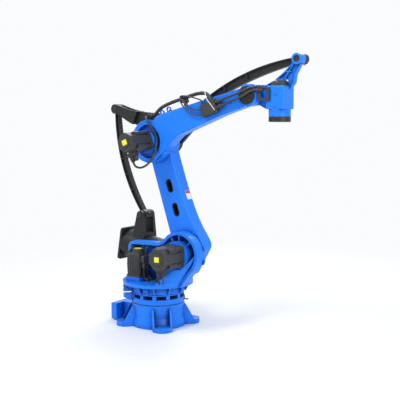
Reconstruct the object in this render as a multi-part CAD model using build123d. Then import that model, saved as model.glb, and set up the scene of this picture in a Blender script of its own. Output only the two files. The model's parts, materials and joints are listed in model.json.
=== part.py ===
from build123d import *
import math
import os

# Four-axis palletising robot arm with parallel levelling links.
# Origin on the turning axis at floor level, +X is the reach direction, +Z is up.
# Lengths are in millimetres and angles in degrees.
# The motor side of the arm is -Y and the linkage side is +Y.

# Reach and linkage
SHOULDER_X = 296.0
SHOULDER_Z = 663.0
LOWER_ARM_LENGTH = 1019.0
LOWER_ARM_LEAN = 18.3
FOREARM_LENGTH = 1075.0
FOREARM_RISE = 21.2
REAR_LINK_X = -598.0
REAR_LINK_Z = 279.0
FRONT_LINK_X = 405.0
FRONT_LINK_Z = 278.0
FLANGE_OFFSET = 253.0
FLANGE_DROP = 210.0

# Named clearances
RUNNING_GAP = 6.0
SEAT_GAP = 0.3
PIN_CLEARANCE = 0.4

# Base
BASE_RADIUS = 233.0
BASE_FLARE_RADIUS = 248.0
BASE_FLARE_HEIGHT = 50.0
GROOVE_Z = 205.0
GROOVE_HEIGHT = 8.0
GROOVE_DEPTH = 7.0
WINDOW_FLOOR_Z = 258.0
WINDOW_HEIGHT = 34.0
WINDOW_POSTS = 12
WINDOW_POST_WIDTH = 34.0
BASE_TOP_RING = 10.0
RING_WALL = 48.0
FOOT_COUNT = 4
FOOT_REACH = 289.0
FOOT_RADIUS = 85.0
FOOT_THICKNESS = 40.0
FOOT_BOLT_RADIUS = 13.0
FOOT_RIB_THICKNESS = 16.0
FOOT_RIB_HEIGHT = 180.0
STOP_ANGLE = -130.0
STOP_WIDTH = 50.0
STOP_REACH = 312.0
STOP_HEIGHT = 70.0

# Cable entry box behind the base
BOX_LENGTH = 60.0
BOX_WIDTH = 300.0
BOX_HEIGHT = 147.0
BOX_FLOOR_GAP = 10.0
BOX_REAR_X = -426.0
BOX_NECK_WIDTH = 94.0

# Turret
DECK_Z = 375.0
DECK_THICKNESS = 28.0
DECK_RADIUS = 314.0
SKIRT_RADIUS = 240.0
SKIRT_RIBS = 12
SKIRT_RIB_THICKNESS = 14.0
SLEW_RING_RADIUS = 212.0
WEB_THICKNESS = 26.0
WEB_FAR_Y = 0.0
RIM_DEPTH = 92.0
RIM_THICKNESS = 28.0
EAR_RADIUS = 198.0
EAR_FOOT_ANGLE = -52.6
WEB_REAR_X = -267.0
WEB_REAR_TOP_Z = 735.0
WEB_TOP_Z = 757.0
WEB_FILLET = 150.0
WEB_CORNER = 60.0
SCOOP_CORNER = 60.0
SCOOP_INSET = 1.0
SCOOP_EDGE_SLOPE = 0.588
SCOOP_LEFT_X = 120.0
POCKET_RIB_THICKNESS = 12.0
POCKET_RIB_DEPTH = 60.0
POCKET_RIB_ANGLES = (45.0, 90.0, 120.0)
J2_MOUNT_RADIUS = 120.0

# Motors
J1_MOTOR_SIDE = 125.0
J1_MOTOR_HEIGHT = 212.0
J1_CAP_HEIGHT = 36.0
J1_RIM_DISTANCE = 135.7
J1_MOTOR_ANGLE = -133.2
J1_PEDESTAL_HEIGHT = 34.0
J1_PEDESTAL_MARGIN = 14.0
J2_MOTOR_ACROSS = 172.0
J2_MOTOR_REAR_Y = -394.0
J2_MOTOR_FLANGE_Y = -135.0
J2_FLANGE_SIDE = 184.0
J2_FLANGE_THICKNESS = 16.0
J3_MOTOR_ACROSS = 150.0
J3_MOTOR_REAR_Y = -415.0
J3_MOTOR_FLANGE_Y = -139.0
J3_FLANGE_SIDE = 160.0
J3_FLANGE_THICKNESS = 14.0
MOTOR_BODY_SHARE = 0.72
MOTOR_GROOVE_DEPTH = 7.0
CONNECTOR_WIDTH = 44.0
CONNECTOR_HEIGHT = 40.0
CONNECTOR_RADIUS = 17.0
CONNECTOR_LENGTH = 42.0

# Lower arm, in its own lengthwise and crosswise directions
ARM_NEAR_Y = 15.0
ARM_FAR_Y = 150.0
ARM_SHOULDER_RADIUS = 204.0
ARM_FLAT_DISTANCE = 135.0
ARM_FLAT_ANGLE = -29.6
ARM_ELBOW_RADIUS = 150.0
ARM_ELBOW_FLANGE_RADIUS = 172.0
ARM_REAR_OFFSET = 115.0
ARM_FRONT_OFFSET = 117.0
ARM_FRONT_BULGES = ((0.147, 55.0), (0.30, 22.0), (0.45, 8.0), (0.66, 0.0), (0.94, 0.0))
ARM_SLOT_LENGTH = 108.0
ARM_SLOT_WIDTH = 46.0
ARM_SLOT_OFFSETS = (388.0, 604.0)
ARM_SLOT_ACROSS = -16.0
ARM_SLOT_DEPTH = 60.0
ARM_NOTCH_RADIUS = 60.0
ARM_FLAT_CORNER = 70.0
ARM_EDGE = 9.0
ARM_RING_RADIUS = 188.0
ARM_RING_HEIGHT = 9.0

# Forearm
FOREARM_NEAR_Y = -120.0
FOREARM_FAR_Y = 0.0
FOREARM_HUB_RADIUS = 188.0
FOREARM_HUB_NEAR_Y = -92.0
FOREARM_HUB_BORE = 148.0
FOREARM_HUB_FLOOR_Y = -55.0
FOREARM_WRIST_RADIUS = 90.0
FOREARM_WRIST_NEAR_Y = -90.0
FOREARM_SHOULDER = ((0.6, 0.72), (0.90, 0.88), (1.27, 0.88))
FOREARM_BELLY = 0.35
FOREARM_BELLY_SHARES = (0.744, 0.31)
FOREARM_TIP_TOP = 0.76
FOREARM_TIP_LOW = 0.90
FOREARM_TAPER_START = 480.0
FOREARM_EDGE = 11.0
WRIST_COVER_RADIUS = 72.0
WRIST_COVER_THICKNESS = 11.0
LUG_OFFSETS = (210.0, 286.0)
LUG_TOP = 210.0
LUG_WIDTH = 44.0
LUG_THICKNESS = 12.0
LUG_HOLE_RADIUS = 13.0

# Linkage
LINK_MID_Y = 200.0
CLEVIS_WIDTH = 107.0
CLEVIS_LENGTH = 210.0
LINK_BOSS_RADIUS = 44.0
LINK_PIN_RADIUS = 20.0
ROD_EYE_WIDTH = 52.0
REAR_FOOT_EYE_WIDTH = 98.0
REAR_ROD_BOW = 80.0
REAR_ROD_DEPTH = 55.0
ROD_WIDTH = 44.0
ROD_WEB = 14.0
ROD_FLANGE = 11.0
ROCKER_THICKNESS = 40.0
ROCKER_HUB_RADIUS = 120.0
ROCKER_EDGE = 6.0
ROCKER_TOP_DIPS = ((-442.0, 1.0), (-200.0, 33.0), (60.0, 38.0))
ROCKER_LOW_POINTS = ((-250.0, 75.0), (-444.0, 167.0))
ROCKER_POST = (-449.0, 235.0)
ROCKER_POST_RADIUS = 15.0
UPPER_ROD_Y = 85.0
UPPER_ROD_PEAK = 57.0
UPPER_ROD_PEAK_SHARE = 0.37
UPPER_ROD_DEPTH = 73.0
UPPER_ROD_END_DEPTH = 50.0

# Wrist
WRIST_LUG_THICKNESS = 48.0
WRIST_LUG_RADIUS = 85.0
WRIST_BOX_SIDE = 170.0
WRIST_BOX_TOP = 74.0
WRIST_BOX_BOTTOM = -110.0
WRIST_BOX_CORNER = 22.0
WRIST_NECK_RADIUS = 88.0
HORN_THICKNESS = 40.0
HORN_POCKET = 14.0
HORN_RIB = 9.0
HORN_RIB_LENGTH = 200.0
HORN_RIBS = ((253.0, 182.0, 0.0), (176.0, 100.0, 90.0), (325.0, 176.0, 55.0))
HORN_OUTLINE = (
    (102, 71), (201, 116), (288, 181), (386, 273), (434, 238), (388, 160), (378, 94), (338, 40), (150, 0))
WRIST_LUG_BELLY = ((120, -108), (60, -78))
TIP_BOSS_NEAR_Y = -18.0
TOOL_FLANGE_RADIUS = 88.0
TOOL_FLANGE_THICKNESS = 43.0
TOOL_BOLT_CIRCLE = 125.0
TOOL_BOLTS = 6
TOOL_BOLT_RADIUS = 6.0
TOOL_PILOT_RADIUS = 31.5
TOOL_PILOT_DEPTH = 8.0
WRIST_MOTOR_RADIUS = 65.0
WRIST_MOTOR_HEIGHT = 40.0
BRACKET_SIZE = 104.0
BRACKET_THICKNESS = 10.0
BRACKET_BORE = 34.0
BRACKET_X = 162.0
BRACKET_Z = 7.0
BRACKET_Y = -98.0

# Bearings between the moving castings
J2_REDUCER_RADIUS = 165.0
ELBOW_REDUCER_RADIUS = 140.0
ELBOW_MOTOR_MOUNT_RADIUS = 98.0
ELBOW_BEARING_RADIUS = 80.0
WRIST_BEARING_RADIUS = 62.0

# Balancer
BALANCER_TILT = 9.5
BALANCER_RADIUS = 130.0
BALANCER_REAR_X = -503.0
BALANCER_REAR_Z = 660.0
BALANCER_LENGTH = 460.0
BALANCER_CHAMFER = 16.0
END_PLATE_WIDTH = 250.0
END_PLATE_HEIGHT = 300.0
END_PLATE_THICKNESS = 22.0
END_PLATE_CORNER = 24.0
END_PLATE_HOLE_INSET = 26.0
END_PLATE_HOLE_RADIUS = 9.0
FORK_WALL = 28.0
FORK_TOP_WIDTH = 166.0
FORK_FOOT_WIDTH = 190.0
FORK_FOOT_LENGTH = 130.0
FORK_FOOT_SHIFT = -14.0
FORK_COLLAR = 16.0
FORK_COLLAR_BOTTOM_Z = 705.0
SADDLE_REAR_X = -215.0
SADDLE_FRONT_X = -75.0
SADDLE_FOOT_Y = 218.0
SADDLE_FAR_Y = 284.0
SADDLE_WALL = 22.0

# Dress pack on the forearm, in the forearm's own directions
DRESS_BOX_LENGTH = 150.0
DRESS_BOX_WIDTH = 104.0
DRESS_BOX_DEPTH = 42.0
DRESS_BOX_ALONG = 726.0
DRESS_BOX_ACROSS = 24.0
GLAND_RADIUS = 14.0
GLAND_LENGTH = 46.0
GLAND_OFFSETS = (-22.0, 22.0)
HOSE_Y = -60.0
CLIP_ALONG = 58.0
CLIP_ACROSS = 196.0
CLIP_LENGTH = 54.0
CLIP_WIDTH = 52.0
CLIP_DEPTH = 56.0
STRAP_ALONG = 470.0
STRAP_ACROSS = 206.0
STRAP_LENGTH = 34.0
STRAP_HEIGHT = 62.0
STRAP_DEPTH = 72.0
THICK_HOSE_RADIUS = 15.0
THIN_HOSE_RADIUS = 6.0
WRIST_HOSE_RADIUS = 9.0
MOTOR_CABLE_RADIUS = 9.0

# Hose and cable routes as lengths along the forearm, across it, and Y
THICK_HOSE_ROUTE = (
    (85.3, 196, -60), (128, 196, -60), (170, 215, -60), (214, 228, -60), (266, 231, -60), (336, 229, -60),
    (406, 222, -60), (476, 213, -60), (546, 208, -60), (611, 198, -68), (671, 180, -84), (724, 156, -104),
    (760, 116, -125.8), (760, 76.3, -125.8))
MOTOR_CABLE_ROUTE = (
    (-66, -157.3, -294), (-66, -190, -294), (-44, -220, -276), (-8, -232, -246), (34, -216, -206),
    (70, -178, -166), (94, -138, -136), (113, -92, -134), (124, -44, -112), (126, 8, -102),
    (121, 52, -108), (114, 98, -136), (104, 148, -144), (84, 188, -134), (66, 200, -116), (66, 200, -88.3))
THIN_HOSE_ROUTES = (
    ((462, 196, -96.3), (462, 196, -122), (484, 160, -142), (506, 102, -146), (546, 46, -148),
     (600, 6, -138), (622, 4, -130), (650.7, 4, -130)),
    ((470, 212, -96.3), (470, 212, -118), (500, 184, -140), (536, 124, -146), (578, 70, -144),
     (622, 46, -130), (650.7, 46, -130)),
    ((478, 224, -96.3), (478, 224, -116), (520, 216, -132), (576, 186, -136), (632, 150, -134),
     (684, 108, -126), (684, 76.3, -126)))
WRIST_HOSE_ROUTES = (
    ((847.3, 46, -125.8), (892, 46, -125.8), (950, 40, -134), (1016, 34, -136), (1080, 34, -134),
     (1130, 40, -122), (1166.9, 33, -109), (1194.8, 22.2, -109)),
    ((847.3, 2, -125.8), (892, 2, -125.8), (950, -2, -134), (1014, -4, -136), (1074, 0, -134),
     (1122, 12, -122), (1158.2, 10.6, -109), (1186.1, -0.2, -109)))
SOCKET_RADIUS = 11.0
SOCKET_LENGTH = 62.0
SOCKET_X = 104.0
SOCKET_HEIGHTS = (64.0, 40.0)


def side_plane(y):
    """Plane facing -Y at the given Y, with local x = X and local y = Z."""
    return Plane.XZ.offset(-y)


def slab(outline, y_from, y_to):
    """Extrude an outline drawn in X and Z between two Y positions."""
    return extrude(side_plane(y_from) * outline, amount=-(y_to - y_from))


def disc(point, radius):
    return Pos(point[0], point[1]) * Circle(radius)


def drum(point, radius, y_from, y_to):
    return slab(disc(point, radius), y_from, y_to)


def outline_of(*points):
    return make_face(Polyline(*points, close=True))


def polar(origin, length, angle):
    return (origin[0] + length * math.cos(math.radians(angle)),
            origin[1] + length * math.sin(math.radians(angle)))


def shifted(point, dx, dz):
    return (point[0] + dx, point[1] + dz)


def along(origin, angle, length, across):
    """Point given along and across a member that starts at the origin."""
    return polar(polar(origin, length, angle), across, angle + 90.0)


def member(origin, angle):
    """Placement of an outline that is drawn along and across a member."""
    return Pos(origin[0], origin[1]) * Rot(0, 0, angle)


def bearing(a, b):
    return math.degrees(math.atan2(b[1] - a[1], b[0] - a[0]))


def soft_notches(outline, radius):
    """Round every inside corner of an outline."""
    corners = []
    for corner in outline.vertices():
        probe = outline & disc((corner.X, corner.Y), 1.0)
        if probe.area > 0.55 * math.pi:
            corners.append(corner)
    return fillet(corners, radius)


def edge_chamfer(solid, y, size):
    """Break the outer edges of a slab on its face at the given Y."""
    face = sorted(solid.faces().filter_by(Axis.Y), key=lambda f: (abs(f.center().Y - y), -f.area))[0]
    return chamfer(face.outer_wire().edges(), size)


# Pivot points, as X and Z
FOREARM_TAPER_END = FOREARM_LENGTH - 1.2 * FOREARM_WRIST_RADIUS
SHOULDER = (SHOULDER_X, SHOULDER_Z)
LOWER_ARM_ANGLE = 90.0 + LOWER_ARM_LEAN
ELBOW = polar(SHOULDER, LOWER_ARM_LENGTH, LOWER_ARM_ANGLE)
WRIST = polar(ELBOW, FOREARM_LENGTH, FOREARM_RISE)
REAR_FOOT = shifted(SHOULDER, REAR_LINK_X, REAR_LINK_Z)
REAR_TOP = shifted(ELBOW, REAR_LINK_X, REAR_LINK_Z)
FRONT_PIN = shifted(ELBOW, FRONT_LINK_X, FRONT_LINK_Z)
TIP_PIN = shifted(WRIST, FRONT_LINK_X, FRONT_LINK_Z)
TOOL_X = WRIST[0] + FLANGE_OFFSET
TOOL_FACE_Z = WRIST[1] - FLANGE_DROP
TURRET_BOTTOM_Z = WINDOW_FLOOR_Z + WINDOW_HEIGHT + BASE_TOP_RING + RUNNING_GAP
DECK_TOP_Z = DECK_Z + DECK_THICKNESS
J1_MOTOR = polar((0.0, 0.0), DECK_RADIUS - J1_RIM_DISTANCE, J1_MOTOR_ANGLE)
UPRIGHT = (Align.CENTER, Align.CENTER, Align.MIN)


def radial_plate(profile, thickness, angle):
    """Plate with a radius and height profile, standing on a ray from the turning axis."""
    return Rot(0, 0, angle) * extrude(Plane.XZ * profile, amount=thickness / 2, both=True)


def base_casting():
    top_z = WINDOW_FLOOR_Z + WINDOW_HEIGHT
    groove_radius = BASE_RADIUS - GROOVE_DEPTH
    profile = outline_of(
        (0, 0), (BASE_FLARE_RADIUS, 0), (BASE_FLARE_RADIUS, FOOT_THICKNESS),
        (BASE_RADIUS, FOOT_THICKNESS + BASE_FLARE_HEIGHT), (BASE_RADIUS, GROOVE_Z),
        (groove_radius, GROOVE_Z), (groove_radius, GROOVE_Z + GROOVE_HEIGHT),
        (BASE_RADIUS, GROOVE_Z + GROOVE_HEIGHT), (BASE_RADIUS, WINDOW_FLOOR_Z), (0, WINDOW_FLOOR_Z))
    body = revolve(Plane.XZ * profile, Axis.Z)
    post = Pos(0, 0, WINDOW_FLOOR_Z) * Box(RING_WALL, WINDOW_POST_WIDTH, WINDOW_HEIGHT, align=UPRIGHT)
    posts = [place * post for place in PolarLocations(BASE_RADIUS - RING_WALL / 2, WINDOW_POSTS)]
    ring = Pos(0, 0, top_z) * extrude(
        Circle(BASE_RADIUS) - Circle(BASE_RADIUS - RING_WALL), amount=BASE_TOP_RING)
    core = Pos(0, 0, WINDOW_FLOOR_Z) * Cylinder(
        BASE_RADIUS - 2 * RING_WALL, WINDOW_HEIGHT + BASE_TOP_RING, align=UPRIGHT)
    first = 180.0 / FOOT_COUNT
    feet = [Rot(0, 0, first + 360.0 / FOOT_COUNT * i) * foot() for i in range(FOOT_COUNT)]
    stop = radial_plate(outline_of(
        (BASE_RADIUS - RING_WALL, top_z - STOP_HEIGHT), (BASE_RADIUS, top_z - STOP_HEIGHT),
        (STOP_REACH, top_z - STOP_HEIGHT / 2), (STOP_REACH, top_z),
        (BASE_RADIUS - RING_WALL, top_z)), STOP_WIDTH, STOP_ANGLE)
    return body + posts + ring + core + feet + stop


def foot():
    pad_outline = Pos(FOOT_REACH, 0) * Circle(FOOT_RADIUS)
    pad_outline = pad_outline + Pos(FOOT_REACH / 2, 0) * Rectangle(FOOT_REACH, 2 * FOOT_RADIUS)
    pad = extrude(pad_outline - Pos(FOOT_REACH, 0) * Circle(FOOT_BOLT_RADIUS), amount=FOOT_THICKNESS)
    rib_end = FOOT_REACH + FOOT_RADIUS / 3
    rib_root = BASE_RADIUS - RING_WALL
    rib = extrude(Plane.XZ * outline_of(
        (rib_root, 0), (rib_end, 0), (rib_end, FOOT_THICKNESS),
        (BASE_RADIUS + GROOVE_DEPTH, FOOT_RIB_HEIGHT), (rib_root, FOOT_RIB_HEIGHT)),
        amount=FOOT_RIB_THICKNESS / 2, both=True)
    rib_y = FOOT_RADIUS - FOOT_RIB_THICKNESS / 2
    return pad + Pos(0, rib_y, 0) * rib + Pos(0, -rib_y, 0) * rib


def cable_box():
    low = (Align.MIN, Align.CENTER, Align.MIN)
    outer = Box(BOX_LENGTH, BOX_WIDTH, BOX_HEIGHT, align=low)
    outer = chamfer(outer.edges().filter_by(Axis.X), BOX_FLOOR_GAP / 2)
    neck_x = BOX_REAR_X + BOX_LENGTH
    neck = Pos(neck_x, 0, BOX_FLOOR_GAP) * Box(
        -BASE_FLARE_RADIUS - neck_x, BOX_NECK_WIDTH, BOX_HEIGHT, align=low)
    return Pos(BOX_REAR_X, 0, BOX_FLOOR_GAP) * outer + neck


def web_outline():
    """Side plate of the turret: a long low shoulder that sweeps up into the round ear."""
    foot_point = (DECK_RADIUS, DECK_Z)
    ear_point = polar(SHOULDER, EAR_RADIUS, EAR_FOOT_ANGLE)
    body = outline_of(
        (WEB_REAR_X, DECK_Z), foot_point, ear_point, SHOULDER,
        (SHOULDER[0], WEB_TOP_Z), (WEB_REAR_X, WEB_REAR_TOP_Z))
    outline = body + disc(SHOULDER, EAR_RADIUS)
    outline = soft_notches(outline, WEB_FILLET)
    corner = outline.vertices().filter_by(lambda v: v.X < WEB_REAR_X + 1 and v.Y > SHOULDER_Z)
    return fillet(corner, WEB_CORNER)


def scoop_body(radius, half_width, near_y):
    """Solid that blends a sector of the deck into the width of the ear."""
    spans = ((-100.0, 40.0), (-60.0, 30.0), (-30.0, 30.0))
    arcs = [CenterArc((0, 0), radius - SCOOP_INSET, start, size) for start, size in spans]
    corner = (arcs[0] @ 0).X
    deck_face = make_face(Curve() + arcs + [Line(arcs[2] @ 1, (corner, 0)), Line((corner, 0), arcs[0] @ 0)])
    left = SHOULDER_X - half_width + SCOOP_INSET
    right = SHOULDER_X + half_width - SCOOP_INSET
    near = Line((left, near_y), (right - SCOOP_CORNER, near_y))
    bend = RadiusArc((right - SCOOP_CORNER, near_y), (right, near_y + SCOOP_CORNER), -SCOOP_CORNER)
    ear_face = make_face(Curve() + [
        near, bend, Line(bend @ 1, (right, 0)), Line((right, 0), (left, 0)), Line((left, 0), near @ 0)])
    deck_place = Pos(0, -SCOOP_INSET, DECK_Z + DECK_THICKNESS / 2)
    return loft([deck_place * deck_face, Pos(0, -SCOOP_INSET, SHOULDER_Z) * ear_face], ruled=True)


def scoop_wall():
    """Smooth hollow wall from the ear down to the deck, cut open by a slanted plane."""
    outer = scoop_body(DECK_RADIUS, EAR_RADIUS, -RIM_DEPTH)
    inner = scoop_body(DECK_RADIUS - RIM_THICKNESS, EAR_RADIUS - RIM_THICKNESS, -RIM_DEPTH - RIM_THICKNESS)
    far = -3 * DECK_RADIUS
    rise = SHOULDER_Z - DECK_Z
    opening = extrude(Plane.YZ * outline_of(
        (-RIM_DEPTH + SCOOP_EDGE_SLOPE * rise, SHOULDER_Z + rise), (far, SHOULDER_Z + rise),
        (far, DECK_Z), (-RIM_DEPTH - SCOOP_EDGE_SLOPE * rise, DECK_Z)), amount=3 * DECK_RADIUS, both=True)
    left = Pos(SCOOP_LEFT_X, 0, DECK_Z) * Box(
        3 * DECK_RADIUS, 3 * DECK_RADIUS, 2 * rise, align=(Align.MAX, Align.CENTER, Align.MIN))
    return outer - inner - opening - left


def pocket_rib(angle, length):
    """Rib between the motor mount and the rim of the ear."""
    bar = member(SHOULDER, angle) * Pos(J2_MOUNT_RADIUS / 2, 0) * Rectangle(
        length, POCKET_RIB_THICKNESS, align=(Align.MIN, Align.CENTER))
    return slab(bar, -WEB_THICKNESS - POCKET_RIB_DEPTH, -WEB_THICKNESS / 2)


def turret_casting():
    deck = Pos(0, 0, DECK_Z) * Cylinder(DECK_RADIUS, DECK_THICKNESS, align=UPRIGHT)
    skirt = Pos(0, 0, TURRET_BOTTOM_Z) * Cylinder(SKIRT_RADIUS, DECK_Z - TURRET_BOTTOM_Z, align=UPRIGHT)
    bearing_z = TURRET_BOTTOM_Z - RUNNING_GAP + SEAT_GAP
    bearing_ring = Pos(0, 0, bearing_z) * Cylinder(SLEW_RING_RADIUS, DECK_Z - bearing_z, align=UPRIGHT)
    rib_line = outline_of(
        (SKIRT_RADIUS / 2, TURRET_BOTTOM_Z), (SKIRT_RADIUS + POCKET_RIB_THICKNESS, TURRET_BOTTOM_Z),
        (DECK_RADIUS - RIM_THICKNESS, DECK_Z), (SKIRT_RADIUS / 2, DECK_Z))
    ribs = [radial_plate(rib_line, SKIRT_RIB_THICKNESS, 360.0 / SKIRT_RIBS * i) for i in range(SKIRT_RIBS)]
    stop = radial_plate(outline_of(
        (SKIRT_RADIUS / 2, TURRET_BOTTOM_Z), (STOP_REACH, TURRET_BOTTOM_Z),
        (STOP_REACH, DECK_Z), (SKIRT_RADIUS / 2, DECK_Z)), STOP_WIDTH / 2, STOP_ANGLE)
    outline = web_outline()
    web = slab(outline, WEB_FAR_Y - WEB_THICKNESS, WEB_FAR_Y)
    rim = slab(outline - offset(outline, -RIM_THICKNESS), WEB_FAR_Y - RIM_DEPTH, WEB_FAR_Y)
    mount = drum(SHOULDER, J2_MOUNT_RADIUS, J2_MOTOR_FLANGE_Y, WEB_FAR_Y)
    rib_length = EAR_RADIUS - J2_MOUNT_RADIUS / 2 - RIM_THICKNESS / 2
    pocket_ribs = [pocket_rib(angle, rib_length) for angle in POCKET_RIB_ANGLES]
    pocket_ribs.append(pocket_rib(-90.0, SHOULDER_Z - J2_MOUNT_RADIUS / 2 - DECK_Z))
    return deck + skirt + bearing_ring + ribs + stop + web + rim + mount + scoop_wall() + pocket_ribs


def j2_reducer():
    return drum(SHOULDER, J2_REDUCER_RADIUS, WEB_FAR_Y, ARM_NEAR_Y - SEAT_GAP)


def elbow_reducer():
    return drum(ELBOW, ELBOW_REDUCER_RADIUS, FOREARM_FAR_Y + SEAT_GAP, ARM_NEAR_Y)


def elbow_motor_mount():
    return drum(ELBOW, ELBOW_MOTOR_MOUNT_RADIUS, J3_MOTOR_FLANGE_Y, FOREARM_HUB_FLOOR_Y)


def motor_shape(across, flange_side, flange_thickness, length):
    """Servo motor along +Z: square flange, grooved body, octagonal rear cap with a round hub."""
    corner = across * 0.1
    body_length = length * MOTOR_BODY_SHARE
    flange = extrude(RectangleRounded(flange_side, flange_side, corner), amount=flange_thickness)
    section = RectangleRounded(across, across, corner)
    for i in range(4):
        groove = Rot(0, 0, 90.0 * i) * Pos(across / 2, 0) * Rectangle(2 * MOTOR_GROOVE_DEPTH, across * 0.56)
        section = section - groove
    body = extrude(section, amount=body_length)
    band = extrude(RectangleRounded(across, across, corner), amount=flange_thickness)
    bands = Pos(0, 0, flange_thickness) * band + Pos(0, 0, body_length - flange_thickness) * band
    cap = extrude(RegularPolygon(across * 0.55, 8, rotation=22.5), amount=length - MOTOR_GROOVE_DEPTH)
    hub = extrude(Circle(across * 0.31), amount=length)
    return flange + body + bands + cap + hub


def connector(across, at_length):
    """Two cable sockets that stand on the -Y side of a motor shape."""
    shape = Pos(-CONNECTOR_WIDTH, -across / 2, at_length) * Box(
        2 * CONNECTOR_WIDTH, CONNECTOR_HEIGHT, CONNECTOR_WIDTH, align=(Align.CENTER, Align.MAX, Align.CENTER))
    socket = Rot(90, 0, 0) * Cylinder(CONNECTOR_RADIUS, CONNECTOR_LENGTH, align=UPRIGHT)
    for side in (-1, 1):
        x = side * CONNECTOR_WIDTH / 2 - CONNECTOR_WIDTH
        shape = shape + Pos(x, -across / 2 - CONNECTOR_HEIGHT, at_length) * socket
    return shape


def side_motor(across, flange_side, flange_thickness, front_y, rear_y, angle, centre):
    length = front_y - rear_y
    shape = motor_shape(across, flange_side, flange_thickness, length) + connector(across, length * 0.56)
    return Pos(centre[0], front_y, centre[1]) * Rot(0, -angle, 0) * Rot(90, 0, 0) * shape


def j1_motor():
    side = J1_MOTOR_SIDE
    plate_side = side + 2 * J1_PEDESTAL_MARGIN
    corner = side * 0.12
    flange = extrude(RectangleRounded(plate_side, plate_side, corner), amount=J2_FLANGE_THICKNESS)
    body = extrude(RectangleRounded(side, side, corner), amount=J1_MOTOR_HEIGHT)
    body = chamfer(body.faces().sort_by(Axis.Z)[-1].edges(), MOTOR_GROOVE_DEPTH)
    cap = extrude(Circle(side * 0.40), amount=J1_MOTOR_HEIGHT + J1_CAP_HEIGHT)
    cap = chamfer(cap.faces().sort_by(Axis.Z)[-1].edges(), MOTOR_GROOVE_DEPTH)
    return Pos(*J1_MOTOR, DECK_TOP_Z + J1_PEDESTAL_HEIGHT) * (flange + body + cap)


def j1_pedestal():
    side = J1_MOTOR_SIDE + 2 * J1_PEDESTAL_MARGIN
    return Pos(*J1_MOTOR, DECK_TOP_Z) * Box(side, side, J1_PEDESTAL_HEIGHT, align=UPRIGHT)


def lower_arm_casting():
    length = LOWER_ARM_LENGTH
    radius = ARM_SHOULDER_RADIUS
    front = [(0, -radius)]
    front += [(length * share, -ARM_FRONT_OFFSET - bulge) for share, bulge in ARM_FRONT_BULGES]
    edge = Spline(*front, tangents=[(1, 0), (1, 0)])
    rear = Polyline(front[-1], (length, -ARM_ELBOW_RADIUS / 2), (length, ARM_REAR_OFFSET),
                    (radius / 2, ARM_REAR_OFFSET), (0, 0), front[0])
    place = member(SHOULDER, LOWER_ARM_ANGLE)
    shaft = make_face(Curve() + [edge, rear])
    outline = place * (shaft + Circle(radius) + Pos(length, 0) * Circle(ARM_ELBOW_RADIUS))
    flat = member(SHOULDER, ARM_FLAT_ANGLE) * Pos(ARM_FLAT_DISTANCE, 0) * Rectangle(
        radius, 2 * radius, align=(Align.MIN, Align.CENTER))
    outline = outline - (flat & disc(SHOULDER, 1.5 * radius))
    outline = soft_notches(outline, ARM_NOTCH_RADIUS)
    flat_line = member(SHOULDER, ARM_FLAT_ANGLE) * Pos(ARM_FLAT_DISTANCE, 0) * Rectangle(2, 4 * radius)
    ends = [v for v in outline.vertices() if (flat_line & disc((v.X, v.Y), 1.0)).area > 1.0]
    arm = slab(fillet(ends, ARM_FLAT_CORNER), ARM_NEAR_Y, ARM_FAR_Y)
    arm = edge_chamfer(arm, ARM_NEAR_Y, ARM_EDGE)
    arm = edge_chamfer(arm, ARM_FAR_Y, ARM_EDGE)
    arm = arm + drum(ELBOW, ARM_ELBOW_FLANGE_RADIUS, ARM_NEAR_Y + ARM_EDGE, ARM_FAR_Y - 2 * ARM_EDGE)
    arm = arm + drum(SHOULDER, ARM_RING_RADIUS, ARM_NEAR_Y - ARM_RING_HEIGHT, ARM_NEAR_Y + ARM_EDGE)
    arm = arm - drum(SHOULDER, J2_REDUCER_RADIUS + SEAT_GAP, ARM_NEAR_Y - ARM_RING_HEIGHT, ARM_NEAR_Y)
    arm = arm + drum(ELBOW, ELBOW_BEARING_RADIUS, ARM_FAR_Y - ARM_EDGE, ARM_FAR_Y + RUNNING_GAP - SEAT_GAP)
    for offset_along in ARM_SLOT_OFFSETS:
        slot = place * Pos(offset_along, ARM_SLOT_ACROSS) * SlotOverall(ARM_SLOT_LENGTH, ARM_SLOT_WIDTH)
        arm = arm - slab(slot, ARM_NEAR_Y, ARM_NEAR_Y + ARM_SLOT_DEPTH)
    return arm


def forearm_casting():
    length = FOREARM_LENGTH
    hub = FOREARM_HUB_RADIUS
    tip = FOREARM_WRIST_RADIUS
    place = member(ELBOW, FOREARM_RISE)
    low = -hub * FOREARM_BELLY
    shaft = outline_of(
        (0, 0), *[(hub * u, hub * v) for u, v in FOREARM_SHOULDER],
        (length, tip * FOREARM_TIP_TOP), (length, -tip * FOREARM_TIP_LOW),
        *[(length * share, low) for share in FOREARM_BELLY_SHARES], (hub * 0.1, -hub * 0.957))
    bends = shaft.vertices().filter_by(lambda v: hub * 0.8 < v.X < length * 0.9)
    shaft = fillet(bends, tip)
    arm = slab(place * shaft, FOREARM_NEAR_Y, FOREARM_FAR_Y)
    arm = edge_chamfer(arm, FOREARM_NEAR_Y, FOREARM_EDGE)
    arm = arm - forearm_taper()
    lobe = drum(WRIST, tip, FOREARM_WRIST_NEAR_Y, FOREARM_FAR_Y)
    arm = arm + edge_chamfer(lobe, FOREARM_WRIST_NEAR_Y, FOREARM_EDGE)
    arm = arm - drum(ELBOW, FOREARM_HUB_BORE, FOREARM_NEAR_Y, FOREARM_HUB_NEAR_Y)
    arm = arm + drum(ELBOW, hub, FOREARM_HUB_NEAR_Y, FOREARM_FAR_Y)
    arm = arm - drum(ELBOW, FOREARM_HUB_BORE, FOREARM_HUB_NEAR_Y, FOREARM_HUB_FLOOR_Y)
    arm = arm + drum(WRIST, WRIST_BEARING_RADIUS, FOREARM_FAR_Y, FOREARM_FAR_Y + RUNNING_GAP - SEAT_GAP)
    for offset_along in LUG_OFFSETS:
        arm = arm + cable_lug(offset_along)
    return arm


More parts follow.
